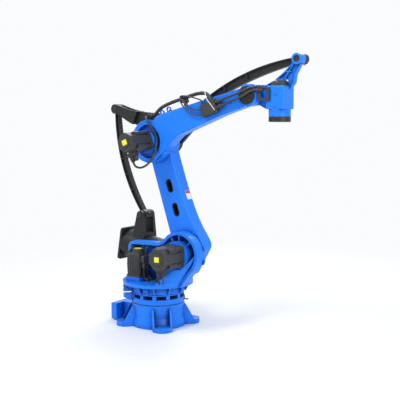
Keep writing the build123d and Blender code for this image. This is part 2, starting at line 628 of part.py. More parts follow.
def forearm_taper():
    """Wedge that thins the forearm towards the wrist, cut from its motor side."""
    far = 2 * FOREARM_LENGTH
    wedge = extrude(outline_of(
        (FOREARM_TAPER_START, FOREARM_NEAR_Y), (FOREARM_TAPER_END, FOREARM_WRIST_NEAR_Y),
        (far, FOREARM_WRIST_NEAR_Y), (far, FOREARM_NEAR_Y)), amount=FOREARM_LENGTH, both=True)
    return Pos(ELBOW[0], 0, ELBOW[1]) * Rot(0, -FOREARM_RISE, 0) * wedge


def cable_lug(offset_along):
    """Upright eye on top of the forearm that guides the thick hose."""
    eye = Pos(offset_along, LUG_TOP - LUG_WIDTH / 2) * Circle(LUG_WIDTH / 2)
    stem = Pos(offset_along, FOREARM_HUB_RADIUS / 2) * Rectangle(
        LUG_WIDTH, LUG_TOP - LUG_WIDTH / 2 - FOREARM_HUB_RADIUS / 2, align=(Align.CENTER, Align.MIN))
    hole = Pos(offset_along, LUG_TOP - LUG_WIDTH / 2) * Circle(LUG_HOLE_RADIUS)
    middle = (FOREARM_NEAR_Y + FOREARM_FAR_Y) / 2
    return slab(member(ELBOW, FOREARM_RISE) * (eye + stem - hole),
                middle - LUG_THICKNESS / 2, middle + LUG_THICKNESS / 2)


def rocker():
    low_y = LINK_MID_Y - CLEVIS_WIDTH / 2
    high_y = LINK_MID_Y + CLEVIS_WIDTH / 2
    web_near_y = LINK_MID_Y - ROCKER_THICKNESS / 2
    web_far_y = LINK_MID_Y + ROCKER_THICKNESS / 2
    boss = LINK_BOSS_RADIUS
    rear = (REAR_LINK_X, REAR_LINK_Z)
    front = (FRONT_LINK_X, FRONT_LINK_Z)
    hub_x = ROCKER_HUB_RADIUS * 0.75
    hub_z = -ROCKER_HUB_RADIUS * 0.66
    nose = (front[0] + boss * 0.4, front[1] - boss * 0.9)
    dips = [(x, rear[1] - dip) for x, dip in ROCKER_TOP_DIPS]
    top = Spline((rear[0], rear[1] + boss), *dips, (front[0], front[1] + boss - 2),
                 tangents=[(1, -0.25), (1, 0.35)])
    low = Spline((-hub_x, hub_z), *ROCKER_LOW_POINTS, (rear[0] + boss * 0.7, rear[1] - boss),
                 tangents=[(-1, 0.9), (-1, 0.5)])
    plate = make_face(Curve() + [
        top, Line(top @ 1, front), Line(front, nose), Line(nose, (hub_x, hub_z)),
        Line((hub_x, hub_z), low @ 0), low, Line(low @ 1, rear), Line(rear, top @ 0)])
    place = Pos(ELBOW[0], ELBOW[1])
    plate = place * (plate + Circle(ROCKER_HUB_RADIUS)) + disc(REAR_TOP, boss) + disc(FRONT_PIN, boss)
    plate = soft_notches(plate, ROCKER_EDGE)
    web = slab(plate, web_near_y, web_far_y)
    web = edge_chamfer(web, web_near_y, ROCKER_EDGE)
    web = edge_chamfer(web, web_far_y, ROCKER_EDGE)
    hub = drum(ELBOW, ROCKER_HUB_RADIUS, ARM_FAR_Y + RUNNING_GAP, high_y)
    heading = bearing(REAR_TOP, ELBOW)
    cheek_zone = member(REAR_TOP, heading) * Pos(-2 * boss, 0) * Rectangle(
        CLEVIS_LENGTH + 3 * boss, 8 * boss, align=(Align.MIN, Align.CENTER))
    cheeks = slab(plate & cheek_zone, low_y, high_y)
    slot_half = ROD_EYE_WIDTH / 2 + RUNNING_GAP
    slot_outline = member(REAR_TOP, heading) * Pos(CLEVIS_LENGTH / 2 - boss, 0) * Rectangle(
        CLEVIS_LENGTH + 2 * boss, 4 * boss)
    slot = slab(slot_outline, LINK_MID_Y - slot_half, LINK_MID_Y + slot_half)
    rear_pin = drum(REAR_TOP, LINK_PIN_RADIUS, low_y, high_y)
    eye_far_y = UPPER_ROD_Y + ROD_EYE_WIDTH / 2
    front_boss = drum(FRONT_PIN, boss, eye_far_y + RUNNING_GAP / 2, web_near_y + ROCKER_EDGE)
    front_pin = drum(FRONT_PIN, LINK_PIN_RADIUS, UPPER_ROD_Y - ROD_EYE_WIDTH / 2, web_near_y)
    post = drum(shifted(ELBOW, *ROCKER_POST), ROCKER_POST_RADIUS, low_y, LINK_MID_Y)
    return (web + hub + cheeks) - slot + rear_pin + front_pin + front_boss + post


def bowed_outline(span, peak_share, bow, depth, end_depth):
    """Bar outline along +X whose centre line rises to the bow at a share of its span."""
    peak = span * peak_share
    top = Spline((0, end_depth / 2), (peak, bow + depth / 2), (span, end_depth / 2))
    low = Spline((span, -end_depth / 2), (peak, bow - depth / 2), (0, -end_depth / 2))
    return make_face(Curve() + [top, Line(top @ 1, low @ 0), low, Line(low @ 1, top @ 0)])


def rod(start, end, bow, peak_share, depth, end_depth, mid_y, widths, pocket_sides, rib_shares):
    """Link rod with a ribbed open section, an eye at each end and pin bores."""
    span = math.dist(start, end)
    place = member(start, bearing(start, end))
    bar = bowed_outline(span, peak_share, bow, depth, end_depth)
    pocket = bowed_outline(span, peak_share, bow, depth - 2 * ROD_FLANGE, end_depth - 2 * ROD_FLANGE)
    ends = Circle(LINK_BOSS_RADIUS * 1.25) + Pos(span, 0) * Circle(LINK_BOSS_RADIUS * 1.25)
    for share in rib_shares:
        ends = ends + Pos(span * share, 0) * Rectangle(ROD_FLANGE, 6 * depth)
    shape = slab(place * bar, mid_y - ROD_WIDTH / 2, mid_y + ROD_WIDTH / 2)
    hollow = place * (pocket - ends)
    for side in pocket_sides:
        shape = shape - slab(hollow, mid_y + side * ROD_WEB / 2, mid_y + side * ROD_WIDTH / 2)
    for point, width in ((start, widths[0]), (end, widths[1])):
        shape = shape + drum(point, LINK_BOSS_RADIUS, mid_y - width / 2, mid_y + width / 2)
        shape = shape - drum(point, LINK_PIN_RADIUS + PIN_CLEARANCE, mid_y - width, mid_y + width)
    return shape


def wrist_casting():
    lug_near_y = FOREARM_FAR_Y + RUNNING_GAP
    lug_far_y = lug_near_y + WRIST_LUG_THICKNESS
    half = WRIST_BOX_SIDE / 2
    box_height = WRIST_BOX_TOP - WRIST_BOX_BOTTOM
    box = extrude(RectangleRounded(WRIST_BOX_SIDE, WRIST_BOX_SIDE, WRIST_BOX_CORNER), amount=box_height)
    box = chamfer(box.faces().sort_by(Axis.Z)[-1].edges(), ARM_EDGE)
    box = Pos(TOOL_X, 0, WRIST[1] + WRIST_BOX_BOTTOM) * box
    neck_z = TOOL_FACE_Z + TOOL_FLANGE_THICKNESS
    neck = Pos(TOOL_X, 0, neck_z) * Cylinder(
        WRIST_NECK_RADIUS, WRIST[1] + WRIST_BOX_BOTTOM - neck_z, align=UPRIGHT)
    arm_end = FLANGE_OFFSET - half
    lug_plate = outline_of(
        (0, WRIST_LUG_RADIUS), (arm_end * 0.6, WRIST_LUG_RADIUS - 4),
        (arm_end + half, WRIST_BOX_TOP - ARM_EDGE), (arm_end + half, WRIST_BOX_BOTTOM),
        *WRIST_LUG_BELLY, (0, -WRIST_LUG_RADIUS))
    lug = slab(disc(WRIST, WRIST_LUG_RADIUS) + Pos(*WRIST) * lug_plate, lug_near_y, lug_far_y)
    horn = Pos(*WRIST) * outline_of(*HORN_OUTLINE)
    horn_solid = slab(horn, 0, HORN_THICKNESS)
    pocket = offset(horn, -HORN_RIB)
    ribs = Sketch()
    for x, z, angle in HORN_RIBS:
        rib = Rot(0, 0, angle) * Rectangle(HORN_RIB_LENGTH, HORN_RIB)
        ribs = ribs + Pos(WRIST[0] + x, WRIST[1] + z) * rib
    horn_solid = horn_solid - slab(pocket - ribs, 0, HORN_POCKET)
    boss_far_y = UPPER_ROD_Y - ROD_EYE_WIDTH / 2 - RUNNING_GAP / 3
    boss = drum(TIP_PIN, LINK_BOSS_RADIUS, TIP_BOSS_NEAR_Y, boss_far_y)
    pin = drum(TIP_PIN, LINK_PIN_RADIUS, 0, UPPER_ROD_Y + ROD_EYE_WIDTH / 2 + RUNNING_GAP)
    motor_seat = Pos(TOOL_X, 0, WRIST[1] + WRIST_BOX_TOP) * Cylinder(
        WRIST_MOTOR_RADIUS + SEAT_GAP, WRIST_MOTOR_HEIGHT + RUNNING_GAP, align=UPRIGHT)
    recess = drum(TIP_PIN, LINK_PIN_RADIUS * 1.4, TIP_BOSS_NEAR_Y, TIP_BOSS_NEAR_Y + RUNNING_GAP)
    return lug + box + neck + horn_solid + boss + pin - motor_seat - recess


def wrist_motor():
    """Domed cap of the tool-turning motor on top of the wrist box."""
    cap = Cylinder(WRIST_MOTOR_RADIUS, WRIST_MOTOR_HEIGHT, align=UPRIGHT)
    cap = fillet(cap.faces().sort_by(Axis.Z)[-1].edges(), WRIST_MOTOR_HEIGHT * 0.6)
    return Pos(TOOL_X, 0, WRIST[1] + WRIST_BOX_TOP) * cap


def wrist_hose_bracket():
    centre = shifted(WRIST, BRACKET_X, BRACKET_Z)
    plate = Pos(*centre) * RectangleRounded(BRACKET_SIZE, BRACKET_SIZE, BRACKET_THICKNESS)
    plate = plate - disc(centre, BRACKET_BORE)
    solid = slab(plate, BRACKET_Y, BRACKET_Y + BRACKET_THICKNESS)
    seat_x = TOOL_X - WRIST_BOX_SIDE / 2 + WRIST_BOX_CORNER
    seat_width = centre[0] + BRACKET_SIZE / 2 - seat_x
    pad_y = BRACKET_Y + BRACKET_THICKNESS
    pad = Pos(seat_x, pad_y, centre[1]) * Box(
        seat_width, -WRIST_BOX_SIDE / 2 - pad_y, BRACKET_SIZE, align=(Align.MIN, Align.MIN, Align.CENTER))
    socket = Rot(0, 90, 0) * Cylinder(SOCKET_RADIUS, SOCKET_LENGTH, align=UPRIGHT)
    for height in SOCKET_HEIGHTS:
        place = Pos(WRIST[0] + SOCKET_X, BRACKET_Y - SOCKET_RADIUS, WRIST[1] + height)
        solid = solid + place * socket
    return solid + pad


def tool_flange():
    flange = Pos(TOOL_X, 0, TOOL_FACE_Z) * Cylinder(
        TOOL_FLANGE_RADIUS, TOOL_FLANGE_THICKNESS - SEAT_GAP, align=UPRIGHT)
    pilot = Cylinder(TOOL_PILOT_RADIUS, TOOL_PILOT_DEPTH, align=UPRIGHT)
    flange = flange - Pos(TOOL_X, 0, TOOL_FACE_Z) * pilot
    hole = Cylinder(TOOL_BOLT_RADIUS, TOOL_FLANGE_THICKNESS / 2, align=UPRIGHT)
    for place in PolarLocations(TOOL_BOLT_CIRCLE / 2, TOOL_BOLTS):
        flange = flange - Pos(TOOL_X, 0, TOOL_FACE_Z) * place * hole
    return flange


def balancer_place():
    return Pos(BALANCER_REAR_X, LINK_MID_Y, BALANCER_REAR_Z) * Rot(0, 90 + BALANCER_TILT, 0)


def balancer_barrel(extra):
    return balancer_place() * Cylinder(BALANCER_RADIUS + extra, BALANCER_LENGTH, align=UPRIGHT)


def balancer_top_z(x):
    """Height of the balancer's top line at the given X."""
    tilt = math.radians(BALANCER_TILT)
    return BALANCER_REAR_Z - (x - BALANCER_REAR_X) * math.tan(tilt) + BALANCER_RADIUS / math.cos(tilt)


def balancer_cylinder():
    barrel = Cylinder(BALANCER_RADIUS, BALANCER_LENGTH, align=UPRIGHT)
    barrel = chamfer(barrel.faces().sort_by(Axis.Z)[-1].edges(), BALANCER_CHAMFER)
    nose = Cylinder(BALANCER_RADIUS / 2, BALANCER_LENGTH + BALANCER_CHAMFER, align=UPRIGHT)
    return balancer_place() * (barrel + nose)


def balancer_end_plate():
    outline = RectangleRounded(END_PLATE_HEIGHT, END_PLATE_WIDTH, END_PLATE_CORNER)
    plate = extrude(outline, amount=-END_PLATE_THICKNESS)
    for place in GridLocations(END_PLATE_HEIGHT - 2 * END_PLATE_HOLE_INSET,
                               END_PLATE_WIDTH - 2 * END_PLATE_HOLE_INSET, 2, 2):
        plate = plate - place * Cylinder(END_PLATE_HOLE_RADIUS, 3 * END_PLATE_THICKNESS)
    return balancer_place() * plate


def balancer_saddle():
    """Cradle that stands on the deck behind the side plate and holds the balancer."""
    length = SADDLE_FRONT_X - SADDLE_REAR_X
    middle_x = SADDLE_REAR_X + length / 2
    top_z = balancer_top_z(SADDLE_REAR_X) - BALANCER_RADIUS
    side = outline_of(
        (WEB_FAR_Y, DECK_TOP_Z), (SADDLE_FOOT_Y, DECK_TOP_Z),
        (SADDLE_FAR_Y, top_z - BALANCER_RADIUS * 0.8), (WEB_FAR_Y, top_z))
    block = Pos(middle_x, 0, 0) * extrude(Plane.YZ * side, amount=length / 2, both=True)
    pocket = Pos(middle_x, 0, 0) * extrude(
        Plane.YZ * offset(side, -SADDLE_WALL), amount=length / 2 - SADDLE_WALL, both=True)
    return block - pocket - balancer_barrel(0)


def link_fork():
    """Yoke on a collar that clasps the balancer's top and carries the rear rod's lower pin."""
    middle_x = REAR_FOOT[0]
    top_half = FORK_TOP_WIDTH / 2
    foot_half = FORK_FOOT_WIDTH / 2
    start_z = FORK_COLLAR_BOTTOM_Z
    outer = Plane.YZ * outline_of(
        (LINK_MID_Y - foot_half, start_z), (LINK_MID_Y + foot_half, start_z),
        (LINK_MID_Y + top_half, REAR_FOOT[1] + LINK_BOSS_RADIUS),
        (LINK_MID_Y - top_half, REAR_FOOT[1] + LINK_BOSS_RADIUS))
    block = Pos(middle_x, 0, 0) * extrude(outer, amount=FORK_FOOT_LENGTH, both=True)
    slot_floor = balancer_top_z(middle_x) + FORK_COLLAR
    slot = Pos(middle_x, LINK_MID_Y, slot_floor) * Box(
        4 * FORK_FOOT_LENGTH, 2 * (top_half - FORK_WALL), REAR_FOOT[1], align=UPRIGHT)
    left = middle_x + FORK_FOOT_SHIFT - FORK_FOOT_LENGTH / 2
    right = left + FORK_FOOT_LENGTH
    boss = LINK_BOSS_RADIUS - RUNNING_GAP
    profile = outline_of(
        (left, start_z), (right, start_z), (right, slot_floor - FORK_COLLAR),
        (middle_x + boss, REAR_FOOT[1]), (middle_x - boss, REAR_FOOT[1]), (left, slot_floor - FORK_COLLAR))
    profile = profile + disc(REAR_FOOT, boss)
    legs = (block & slab(profile, 0, 2 * LINK_MID_Y)) - slot - balancer_barrel(SEAT_GAP)
    pin = drum(REAR_FOOT, LINK_PIN_RADIUS, LINK_MID_Y - top_half, LINK_MID_Y + top_half)
    return legs + pin


def wrist_cover():
    y = FOREARM_WRIST_NEAR_Y - SEAT_GAP
    return drum(WRIST, WRIST_COVER_RADIUS, y - WRIST_COVER_THICKNESS, y)


def forearm_point(offset_along, across, y):
    """Point in space given along and across the forearm."""
    point = along(ELBOW, FOREARM_RISE, offset_along, across)
    return (point[0], y, point[1])


def dress_near_y():
    """Depth of the forearm's motor side under the middle of the dress box."""
    share = (DRESS_BOX_ALONG - FOREARM_TAPER_START) / (FOREARM_TAPER_END - FOREARM_TAPER_START)
    return FOREARM_NEAR_Y + share * (FOREARM_WRIST_NEAR_Y - FOREARM_NEAR_Y)


def dress_mid_y():
    return dress_near_y() - DRESS_BOX_DEPTH / 2


def dress_box():
    """Valve box strapped to the motor side of the forearm, with two cable glands."""
    box = RectangleRounded(DRESS_BOX_LENGTH, DRESS_BOX_WIDTH, RUNNING_GAP)
    place = member(ELBOW, FOREARM_RISE) * Pos(DRESS_BOX_ALONG, DRESS_BOX_ACROSS)
    shape = slab(place * box, dress_near_y() - DRESS_BOX_DEPTH, dress_near_y() + DRESS_BOX_DEPTH / 2)
    shape = shape - forearm_casting()
    gland = Rot(0, 90 - FOREARM_RISE, 0) * Cylinder(GLAND_RADIUS, GLAND_LENGTH, align=UPRIGHT)
    end = DRESS_BOX_ALONG + DRESS_BOX_LENGTH / 2
    for across in GLAND_OFFSETS:
        start = forearm_point(end, DRESS_BOX_ACROSS + across, dress_mid_y())
        shape = shape + Pos(*start) * gland
    return shape


def hose_clip():
    """Block on top of the elbow hub where the hose and the motor cable enter."""
    y = HOSE_Y
    block = member(ELBOW, FOREARM_RISE) * Pos(CLIP_ALONG, CLIP_ACROSS) * RectangleRounded(
        CLIP_LENGTH, CLIP_WIDTH, RUNNING_GAP)
    shape = slab(block, y - CLIP_DEPTH / 2, y + CLIP_DEPTH / 2)
    return shape - drum(ELBOW, FOREARM_HUB_RADIUS + SEAT_GAP, y - CLIP_DEPTH, y + CLIP_DEPTH)


def hose_strap():
    """Clamp round the thick hose, held by a bolt on the forearm's top, that lets three thin hoses out."""
    place = member(ELBOW, FOREARM_RISE) * Pos(STRAP_ALONG, STRAP_ACROSS)
    outer = RectangleRounded(STRAP_LENGTH, STRAP_HEIGHT, RUNNING_GAP)
    stem = Pos(0, -STRAP_HEIGHT) * Rectangle(STRAP_LENGTH / 2, STRAP_HEIGHT + RUNNING_GAP)
    shape = slab(place * outer, HOSE_Y - STRAP_DEPTH / 2, HOSE_Y + STRAP_DEPTH / 2)
    shape = shape + slab(place * stem, HOSE_Y - STRAP_DEPTH / 4, HOSE_Y + STRAP_DEPTH / 4)
    return shape - forearm_casting() - tube(forearm_route(THICK_HOSE_ROUTE), THICK_HOSE_RADIUS + SEAT_GAP)


def forearm_route(points):
    return [forearm_point(*point) for point in points]


def tube(points, radius):
    """Tube on straight runs joined by the largest tangent arcs that the runs allow."""
    vectors = [Vector(*point) for point in points]
    runs = [second - first for first, second in zip(vectors, vectors[1:])]
    radii = []
    for before, after in zip(runs, runs[1:]):
        shorter = min(before.length, after.length)
        radii.append(0.45 * shorter / math.tan(math.radians(before.get_angle(after)) / 2))
    print("bend radii", [round(value) for value in radii])
    path = FilletPolyline(*points, radius=radii)
    section = Plane(origin=path @ 0, z_dir=path % 0) * Circle(radius)
    return sweep(section, path=path)


NODES = {
    "base_casting": base_casting(),
    "cable_box": cable_box(),
    "turret_casting": turret_casting(),
    "j1_motor": j1_motor(),
    "j1_pedestal": j1_pedestal(),
    "j2_motor": side_motor(J2_MOTOR_ACROSS, J2_FLANGE_SIDE, J2_FLANGE_THICKNESS,
                           J2_MOTOR_FLANGE_Y, J2_MOTOR_REAR_Y, 0.0, SHOULDER),
    "link_fork": link_fork(),
    "balancer_saddle": balancer_saddle(),
    "balancer_cylinder": balancer_cylinder(),
    "balancer_end_plate": balancer_end_plate(),
    "j2_reducer": j2_reducer(),
    "elbow_reducer": elbow_reducer(),
    "elbow_motor_mount": elbow_motor_mount(),
    "lower_arm_casting": lower_arm_casting(),
    "rocker": rocker(),
    "rear_rod": rod(REAR_FOOT, REAR_TOP, REAR_ROD_BOW, 0.5, REAR_ROD_DEPTH, REAR_ROD_DEPTH * 0.8,
                    LINK_MID_Y, (REAR_FOOT_EYE_WIDTH, ROD_EYE_WIDTH), (-1, 1), (0.25, 0.4, 0.55, 0.7)),
    "forearm_casting": forearm_casting(),
    "j3_motor": side_motor(J3_MOTOR_ACROSS, J3_FLANGE_SIDE, J3_FLANGE_THICKNESS,
                           J3_MOTOR_FLANGE_Y, J3_MOTOR_REAR_Y, FOREARM_RISE, ELBOW),
    "wrist_pivot_cover": wrist_cover(),
    "dress_box": dress_box(),
    "hose_clip": hose_clip(),
    "hose_strap": hose_strap(),
    "thick_hose": tube(forearm_route(THICK_HOSE_ROUTE), THICK_HOSE_RADIUS),
    "elbow_motor_cable": tube(forearm_route(MOTOR_CABLE_ROUTE), MOTOR_CABLE_RADIUS),
    "thin_hoses": Compound([tube(forearm_route(route), THIN_HOSE_RADIUS) for route in THIN_HOSE_ROUTES]),
    "upper_rod": rod(FRONT_PIN, TIP_PIN, UPPER_ROD_PEAK, UPPER_ROD_PEAK_SHARE, UPPER_ROD_DEPTH,
                     UPPER_ROD_END_DEPTH, UPPER_ROD_Y, (ROD_EYE_WIDTH, ROD_EYE_WIDTH), (-1,), (0.3, 0.52)),
    "wrist_casting": wrist_casting(),
    "wrist_motor": wrist_motor(),
    "wrist_hose_bracket": wrist_hose_bracket(),
    "wrist_hoses": Compound([tube(forearm_route(route), WRIST_HOSE_RADIUS) for route in WRIST_HOSE_ROUTES]),
    "tool_flange": tool_flange(),
}

os.makedirs("parts", exist_ok=True)
for name, shape in NODES.items():
    export_step(shape, f"parts/{name}.step")
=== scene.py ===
import json
import math

import bpy
from mathutils import Matrix, Vector
from mathutils.bvhtree import BVHTree


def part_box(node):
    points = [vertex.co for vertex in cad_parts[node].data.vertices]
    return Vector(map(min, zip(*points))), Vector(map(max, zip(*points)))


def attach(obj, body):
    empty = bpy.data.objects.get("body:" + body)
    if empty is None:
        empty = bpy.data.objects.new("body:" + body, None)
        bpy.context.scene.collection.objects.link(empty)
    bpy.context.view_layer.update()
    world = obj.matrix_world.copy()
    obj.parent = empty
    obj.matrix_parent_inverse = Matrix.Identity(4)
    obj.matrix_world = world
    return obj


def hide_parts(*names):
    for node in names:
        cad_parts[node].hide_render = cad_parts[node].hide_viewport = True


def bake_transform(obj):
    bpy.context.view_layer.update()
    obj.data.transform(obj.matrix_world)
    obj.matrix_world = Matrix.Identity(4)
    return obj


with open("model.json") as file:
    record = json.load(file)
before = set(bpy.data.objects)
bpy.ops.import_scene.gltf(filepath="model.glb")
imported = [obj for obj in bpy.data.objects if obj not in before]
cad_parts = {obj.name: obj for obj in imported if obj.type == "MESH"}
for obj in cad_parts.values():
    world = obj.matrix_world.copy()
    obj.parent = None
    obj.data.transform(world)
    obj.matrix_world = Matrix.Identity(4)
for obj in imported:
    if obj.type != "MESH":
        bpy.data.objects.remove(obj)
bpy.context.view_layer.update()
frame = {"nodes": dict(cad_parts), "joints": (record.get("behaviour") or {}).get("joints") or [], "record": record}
scene = bpy.context.scene
scene.view_settings.view_transform = "Standard"

# Camera, fitted to the view of the photograph
CAMERA_PLACE = (4.542, -5.724, 1.916)
CAMERA_TILT = 83.7
CAMERA_TURN = 35.5
CAMERA_LENS = 74.78
SENSOR_WIDTH = 36.0
CLIP_END = 200.0

# Pale studio. Each lamp has a name, a place, a target, a size in metres and a power in watts.
FLOOR_SIZE = 24.0
FLOOR_COLOUR = (0.86, 0.87, 0.88, 1.0)
FLOOR_ROUGHNESS = 0.7
FLOOR_SOLID_RADIUS = 1.2
FLOOR_FADE_RADIUS = 4.5
BACKDROP_COLOUR = (0.96, 0.97, 0.98, 1.0)
SKY_COLOUR = (0.93, 0.96, 1.0, 1.0)
SKY_STRENGTH = 0.56
LAMPS = (
    ("key", (-1.6, -4.2, 7.2), (0.3, 0.0, 1.0), (3.0, 3.0), 340.0),
    ("fill", (6.5, -2.5, 3.5), (0.5, 0.0, 1.2), (4.0, 4.0), 190.0),
    ("back", (-1.5, 5.5, 5.0), (0.2, 0.0, 1.3), (4.0, 3.0), 220.0))

# Pivots and directions, from the joints of the frame
PIVOT = {joint["name"]: Vector(joint["pos_m"]) for joint in frame["joints"]}
SHOULDER = PIVOT["shoulder"]
ELBOW = PIVOT["elbow"]
WRIST = PIVOT["wrist_level"]
REAR_FOOT = PIVOT["rear_rod_pivot"]
REAR_TOP = REAR_FOOT + ELBOW - SHOULDER
FRONT_PIN = PIVOT["upper_rod_pivot"]
TIP_PIN = FRONT_PIN + WRIST - ELBOW
TOOL = PIVOT["tool_turn"]
NEAR = Vector((0.0, -1.0, 0.0))
FAR = Vector((0.0, 1.0, 0.0))
UP = Vector((0.0, 0.0, 1.0))
ALONG_X = Vector((1.0, 0.0, 0.0))
ARM_AXIS = (ELBOW - SHOULDER).normalized()
ARM_RISE = math.atan2(ARM_AXIS.z, ARM_AXIS.x)
FOREARM_RISE = math.atan2(WRIST.z - ELBOW.z, WRIST.x - ELBOW.x)
FOREARM_ALONG = Vector((math.cos(FOREARM_RISE), 0, math.sin(FOREARM_RISE)))
FOREARM_ACROSS = Vector((-math.sin(FOREARM_RISE), 0, math.cos(FOREARM_RISE)))
QUARTER_TURN = math.radians(90)
MM = 0.001


# Shader building

def node(tree, kind, **settings):
    """Shader node with its named inputs or properties set."""
    made = tree.nodes.new(kind)
    for key, value in settings.items():
        if key in made.inputs:
            made.inputs[key].default_value = value
        else:
            setattr(made, key, value)
    return made


def noise(tree, place, scale, detail=4.0, rough=0.5):
    made = node(tree, "ShaderNodeTexNoise", Scale=scale, Detail=detail, Roughness=rough)
    tree.links.new(place, made.inputs["Vector"])
    return made.outputs["Fac"]


def ramp(tree, source, low, high, out_low=0.0, out_high=1.0):
    """Stretch of a value from one range to another, with its ends held."""
    made = tree.nodes.new("ShaderNodeMapRange")
    for name, value in (("From Min", low), ("From Max", high), ("To Min", out_low), ("To Max", out_high)):
        made.inputs[name].default_value = value
    tree.links.new(source, made.inputs["Value"])
    return made.outputs["Result"]


def arithmetic(tree, operation, first, second):
    made = tree.nodes.new("ShaderNodeMath")
    made.operation = operation
    made.use_clamp = True
    for slot, value in ((0, first), (1, second)):
        if isinstance(value, (int, float)):
            made.inputs[slot].default_value = value
        else:
            tree.links.new(value, made.inputs[slot])
    return made.outputs[0]


def blend_colour(tree, factor, first, second):
    made = tree.nodes.new("ShaderNodeMix")
    made.data_type = "RGBA"
    tree.links.new(factor, made.inputs[0])
    for slot, value in ((6, first), (7, second)):
        if isinstance(value, (tuple, list)):
            made.inputs[slot].default_value = (*value[:3], 1.0)
        else:
            tree.links.new(value, made.inputs[slot])
    return made.outputs[2]


def shade(colour, factor):
    return tuple(channel * factor for channel in colour)


# Noise scales, in waves to the metre, and reaches and depths in metres

CLOUD_SCALE = 5.0
SPECK_SCALE = 70.0
GRIME_AND_SHADE_SCALE = 14.0
DUST_SCALE = 22.0
CHIP_SCALE = 38.0
GLOSS_SCALE = 17.0
CAST_SCALE = 30.0
# Reach of the painted shade deep inside a piece
RECESS_SHADE_REACH = 0.24
# Reach of the grime and painted shade in corners
GRIME_AND_SHADE_REACH = 0.060
GRAIN_DEPTH = 0.0006
CAST_DEPTH = 0.002
DUST_COLOUR = (0.42, 0.41, 0.38)
COAT_ROUGHNESS = 0.12


def mottled(tree, place, colour, mottle):
    """Colour with lighter and darker clouds and dark specks."""
    clouds = ramp(tree, noise(tree, place, CLOUD_SCALE, 6.0, 0.6), 0.3, 0.7)
    specks = ramp(tree, noise(tree, place, SPECK_SCALE, 3.0), 0.35, 0.75)
    base = blend_colour(tree, clouds, shade(colour, 1.0 - mottle), shade(colour, 1.0 + mottle))
    return blend_colour(tree, arithmetic(tree, "MULTIPLY", specks, mottle), base, shade(colour, 0.55))


def painted_recess_shade(tree, base, recess_shade):
    """Painted shade: darker colour where a surface lies deep inside its own piece."""
    depth = node(tree, "ShaderNodeAmbientOcclusion", samples=6, only_local=True, Distance=RECESS_SHADE_REACH)
    return blend_colour(tree, ramp(tree, depth.outputs["AO"], 0.42, 0.90, 0.9, 0.0), base, recess_shade)


def grime_and_corner_shade(tree, place, base, grime_and_shade):
    """Patches of grime in the corners, which are also painted shade: the colour darkens where other surfaces are
    near.
    """
    corners = node(tree, "ShaderNodeAmbientOcclusion", samples=6, Distance=GRIME_AND_SHADE_REACH)
    shut = ramp(tree, corners.outputs["AO"], 0.35, 0.9, 1.0, 0.0)
    patches = ramp(tree, noise(tree, place, GRIME_AND_SHADE_SCALE, 5.0, 0.65), 0.38, 0.72, 0.35, 0.85)
    return blend_colour(tree, arithmetic(tree, "MULTIPLY", shut, patches), base, grime_and_shade)


def dusty(tree, place, normal, base, dust):
    """Film of dust on faces that look up."""
    parts = node(tree, "ShaderNodeSeparateXYZ")
    tree.links.new(normal, parts.inputs[0])
    flat = ramp(tree, parts.outputs["Z"], 0.75, 1.0, 0.0, dust)
    patches = ramp(tree, noise(tree, place, DUST_SCALE, 6.0, 0.7), 0.35, 0.7)
    return blend_colour(tree, arithmetic(tree, "MULTIPLY", flat, patches), base, DUST_COLOUR)


def worn_edges(tree, place, normal, rounded, base, worn, wear):
    """Chips along sharp edges, where the rounded normal leaves the true one."""
    match = tree.nodes.new("ShaderNodeVectorMath")
    match.operation = "DOT_PRODUCT"
    tree.links.new(rounded, match.inputs[0])
    tree.links.new(normal, match.inputs[1])
    sharp = ramp(tree, match.outputs["Value"], 0.995, 0.90, 0.0, 1.0)
    chips = ramp(tree, noise(tree, place, CHIP_SCALE, 5.0, 0.7), 0.44, 0.62, 0.12, 1.0)
    mask = arithmetic(tree, "MULTIPLY", arithmetic(tree, "MULTIPLY", sharp, chips), wear)
    return blend_colour(tree, mask, base, worn)


def finish_material(name, colour, roughness, metallic=0.0, coat=0.0, specular=0.5, worn=None, wear=0.0,
                    edge=3.0, grain=220.0, grain_height=0.25, cast=0.0, mottle=0.10, grime_and_shade=None, recess_shade=None,
                    dust=0.0):
    """Painted, moulded or machined surface with mottled colour, uneven gloss, grain and worn edges, and where
    given, grime with painted shade in corners and painted shade in recesses.
    """
    material = bpy.data.materials.new(name)
    material.use_nodes = True
    tree = material.node_tree
    links = tree.links
    shader = tree.nodes["Principled BSDF"]
    place = node(tree, "ShaderNodeTexCoord").outputs["Object"]
    normal = node(tree, "ShaderNodeNewGeometry").outputs["Normal"]

    base = mottled(tree, place, colour, mottle)
    # Painted shade deep inside the piece
    if recess_shade:
        base = painted_recess_shade(tree, base, recess_shade)
    # Grime, and painted shade in corners
    if grime_and_shade:
        base = grime_and_corner_shade(tree, place, base, grime_and_shade)
    if dust:
        base = dusty(tree, place, normal, base, dust)
    rounded = node(tree, "ShaderNodeBevel", samples=4, Radius=edge * MM).outputs[0]
    if worn:
        base = worn_edges(tree, place, normal, rounded, base, worn, wear)
    links.new(base, shader.inputs["Base Color"])

    clouds = noise(tree, place, GLOSS_SCALE, 5.0, 0.6)
    gloss = ramp(tree, clouds, 0.3, 0.7, roughness - 0.06, roughness + 0.08)
    links.new(gloss, shader.inputs["Roughness"])
    shader.inputs["Metallic"].default_value = metallic
    shader.inputs["Specular IOR Level"].default_value = specular
    shader.inputs["Coat Weight"].default_value = coat
    shader.inputs["Coat Roughness"].default_value = COAT_ROUGHNESS

    fine = node(tree, "ShaderNodeBump", Strength=grain_height, Distance=GRAIN_DEPTH)
    links.new(noise(tree, place, grain, 3.0), fine.inputs["Height"])
    if cast:
        coarse = node(tree, "ShaderNodeBump", Strength=cast, Distance=CAST_DEPTH)
        links.new(noise(tree, place, CAST_SCALE, 4.0, 0.55), coarse.inputs["Height"])
        links.new(rounded, coarse.inputs["Normal"])
        links.new(coarse.outputs[0], fine.inputs["Normal"])
    else:
        links.new(rounded, fine.inputs["Normal"])
    links.new(fine.outputs[0], shader.inputs["Normal"])
    return material
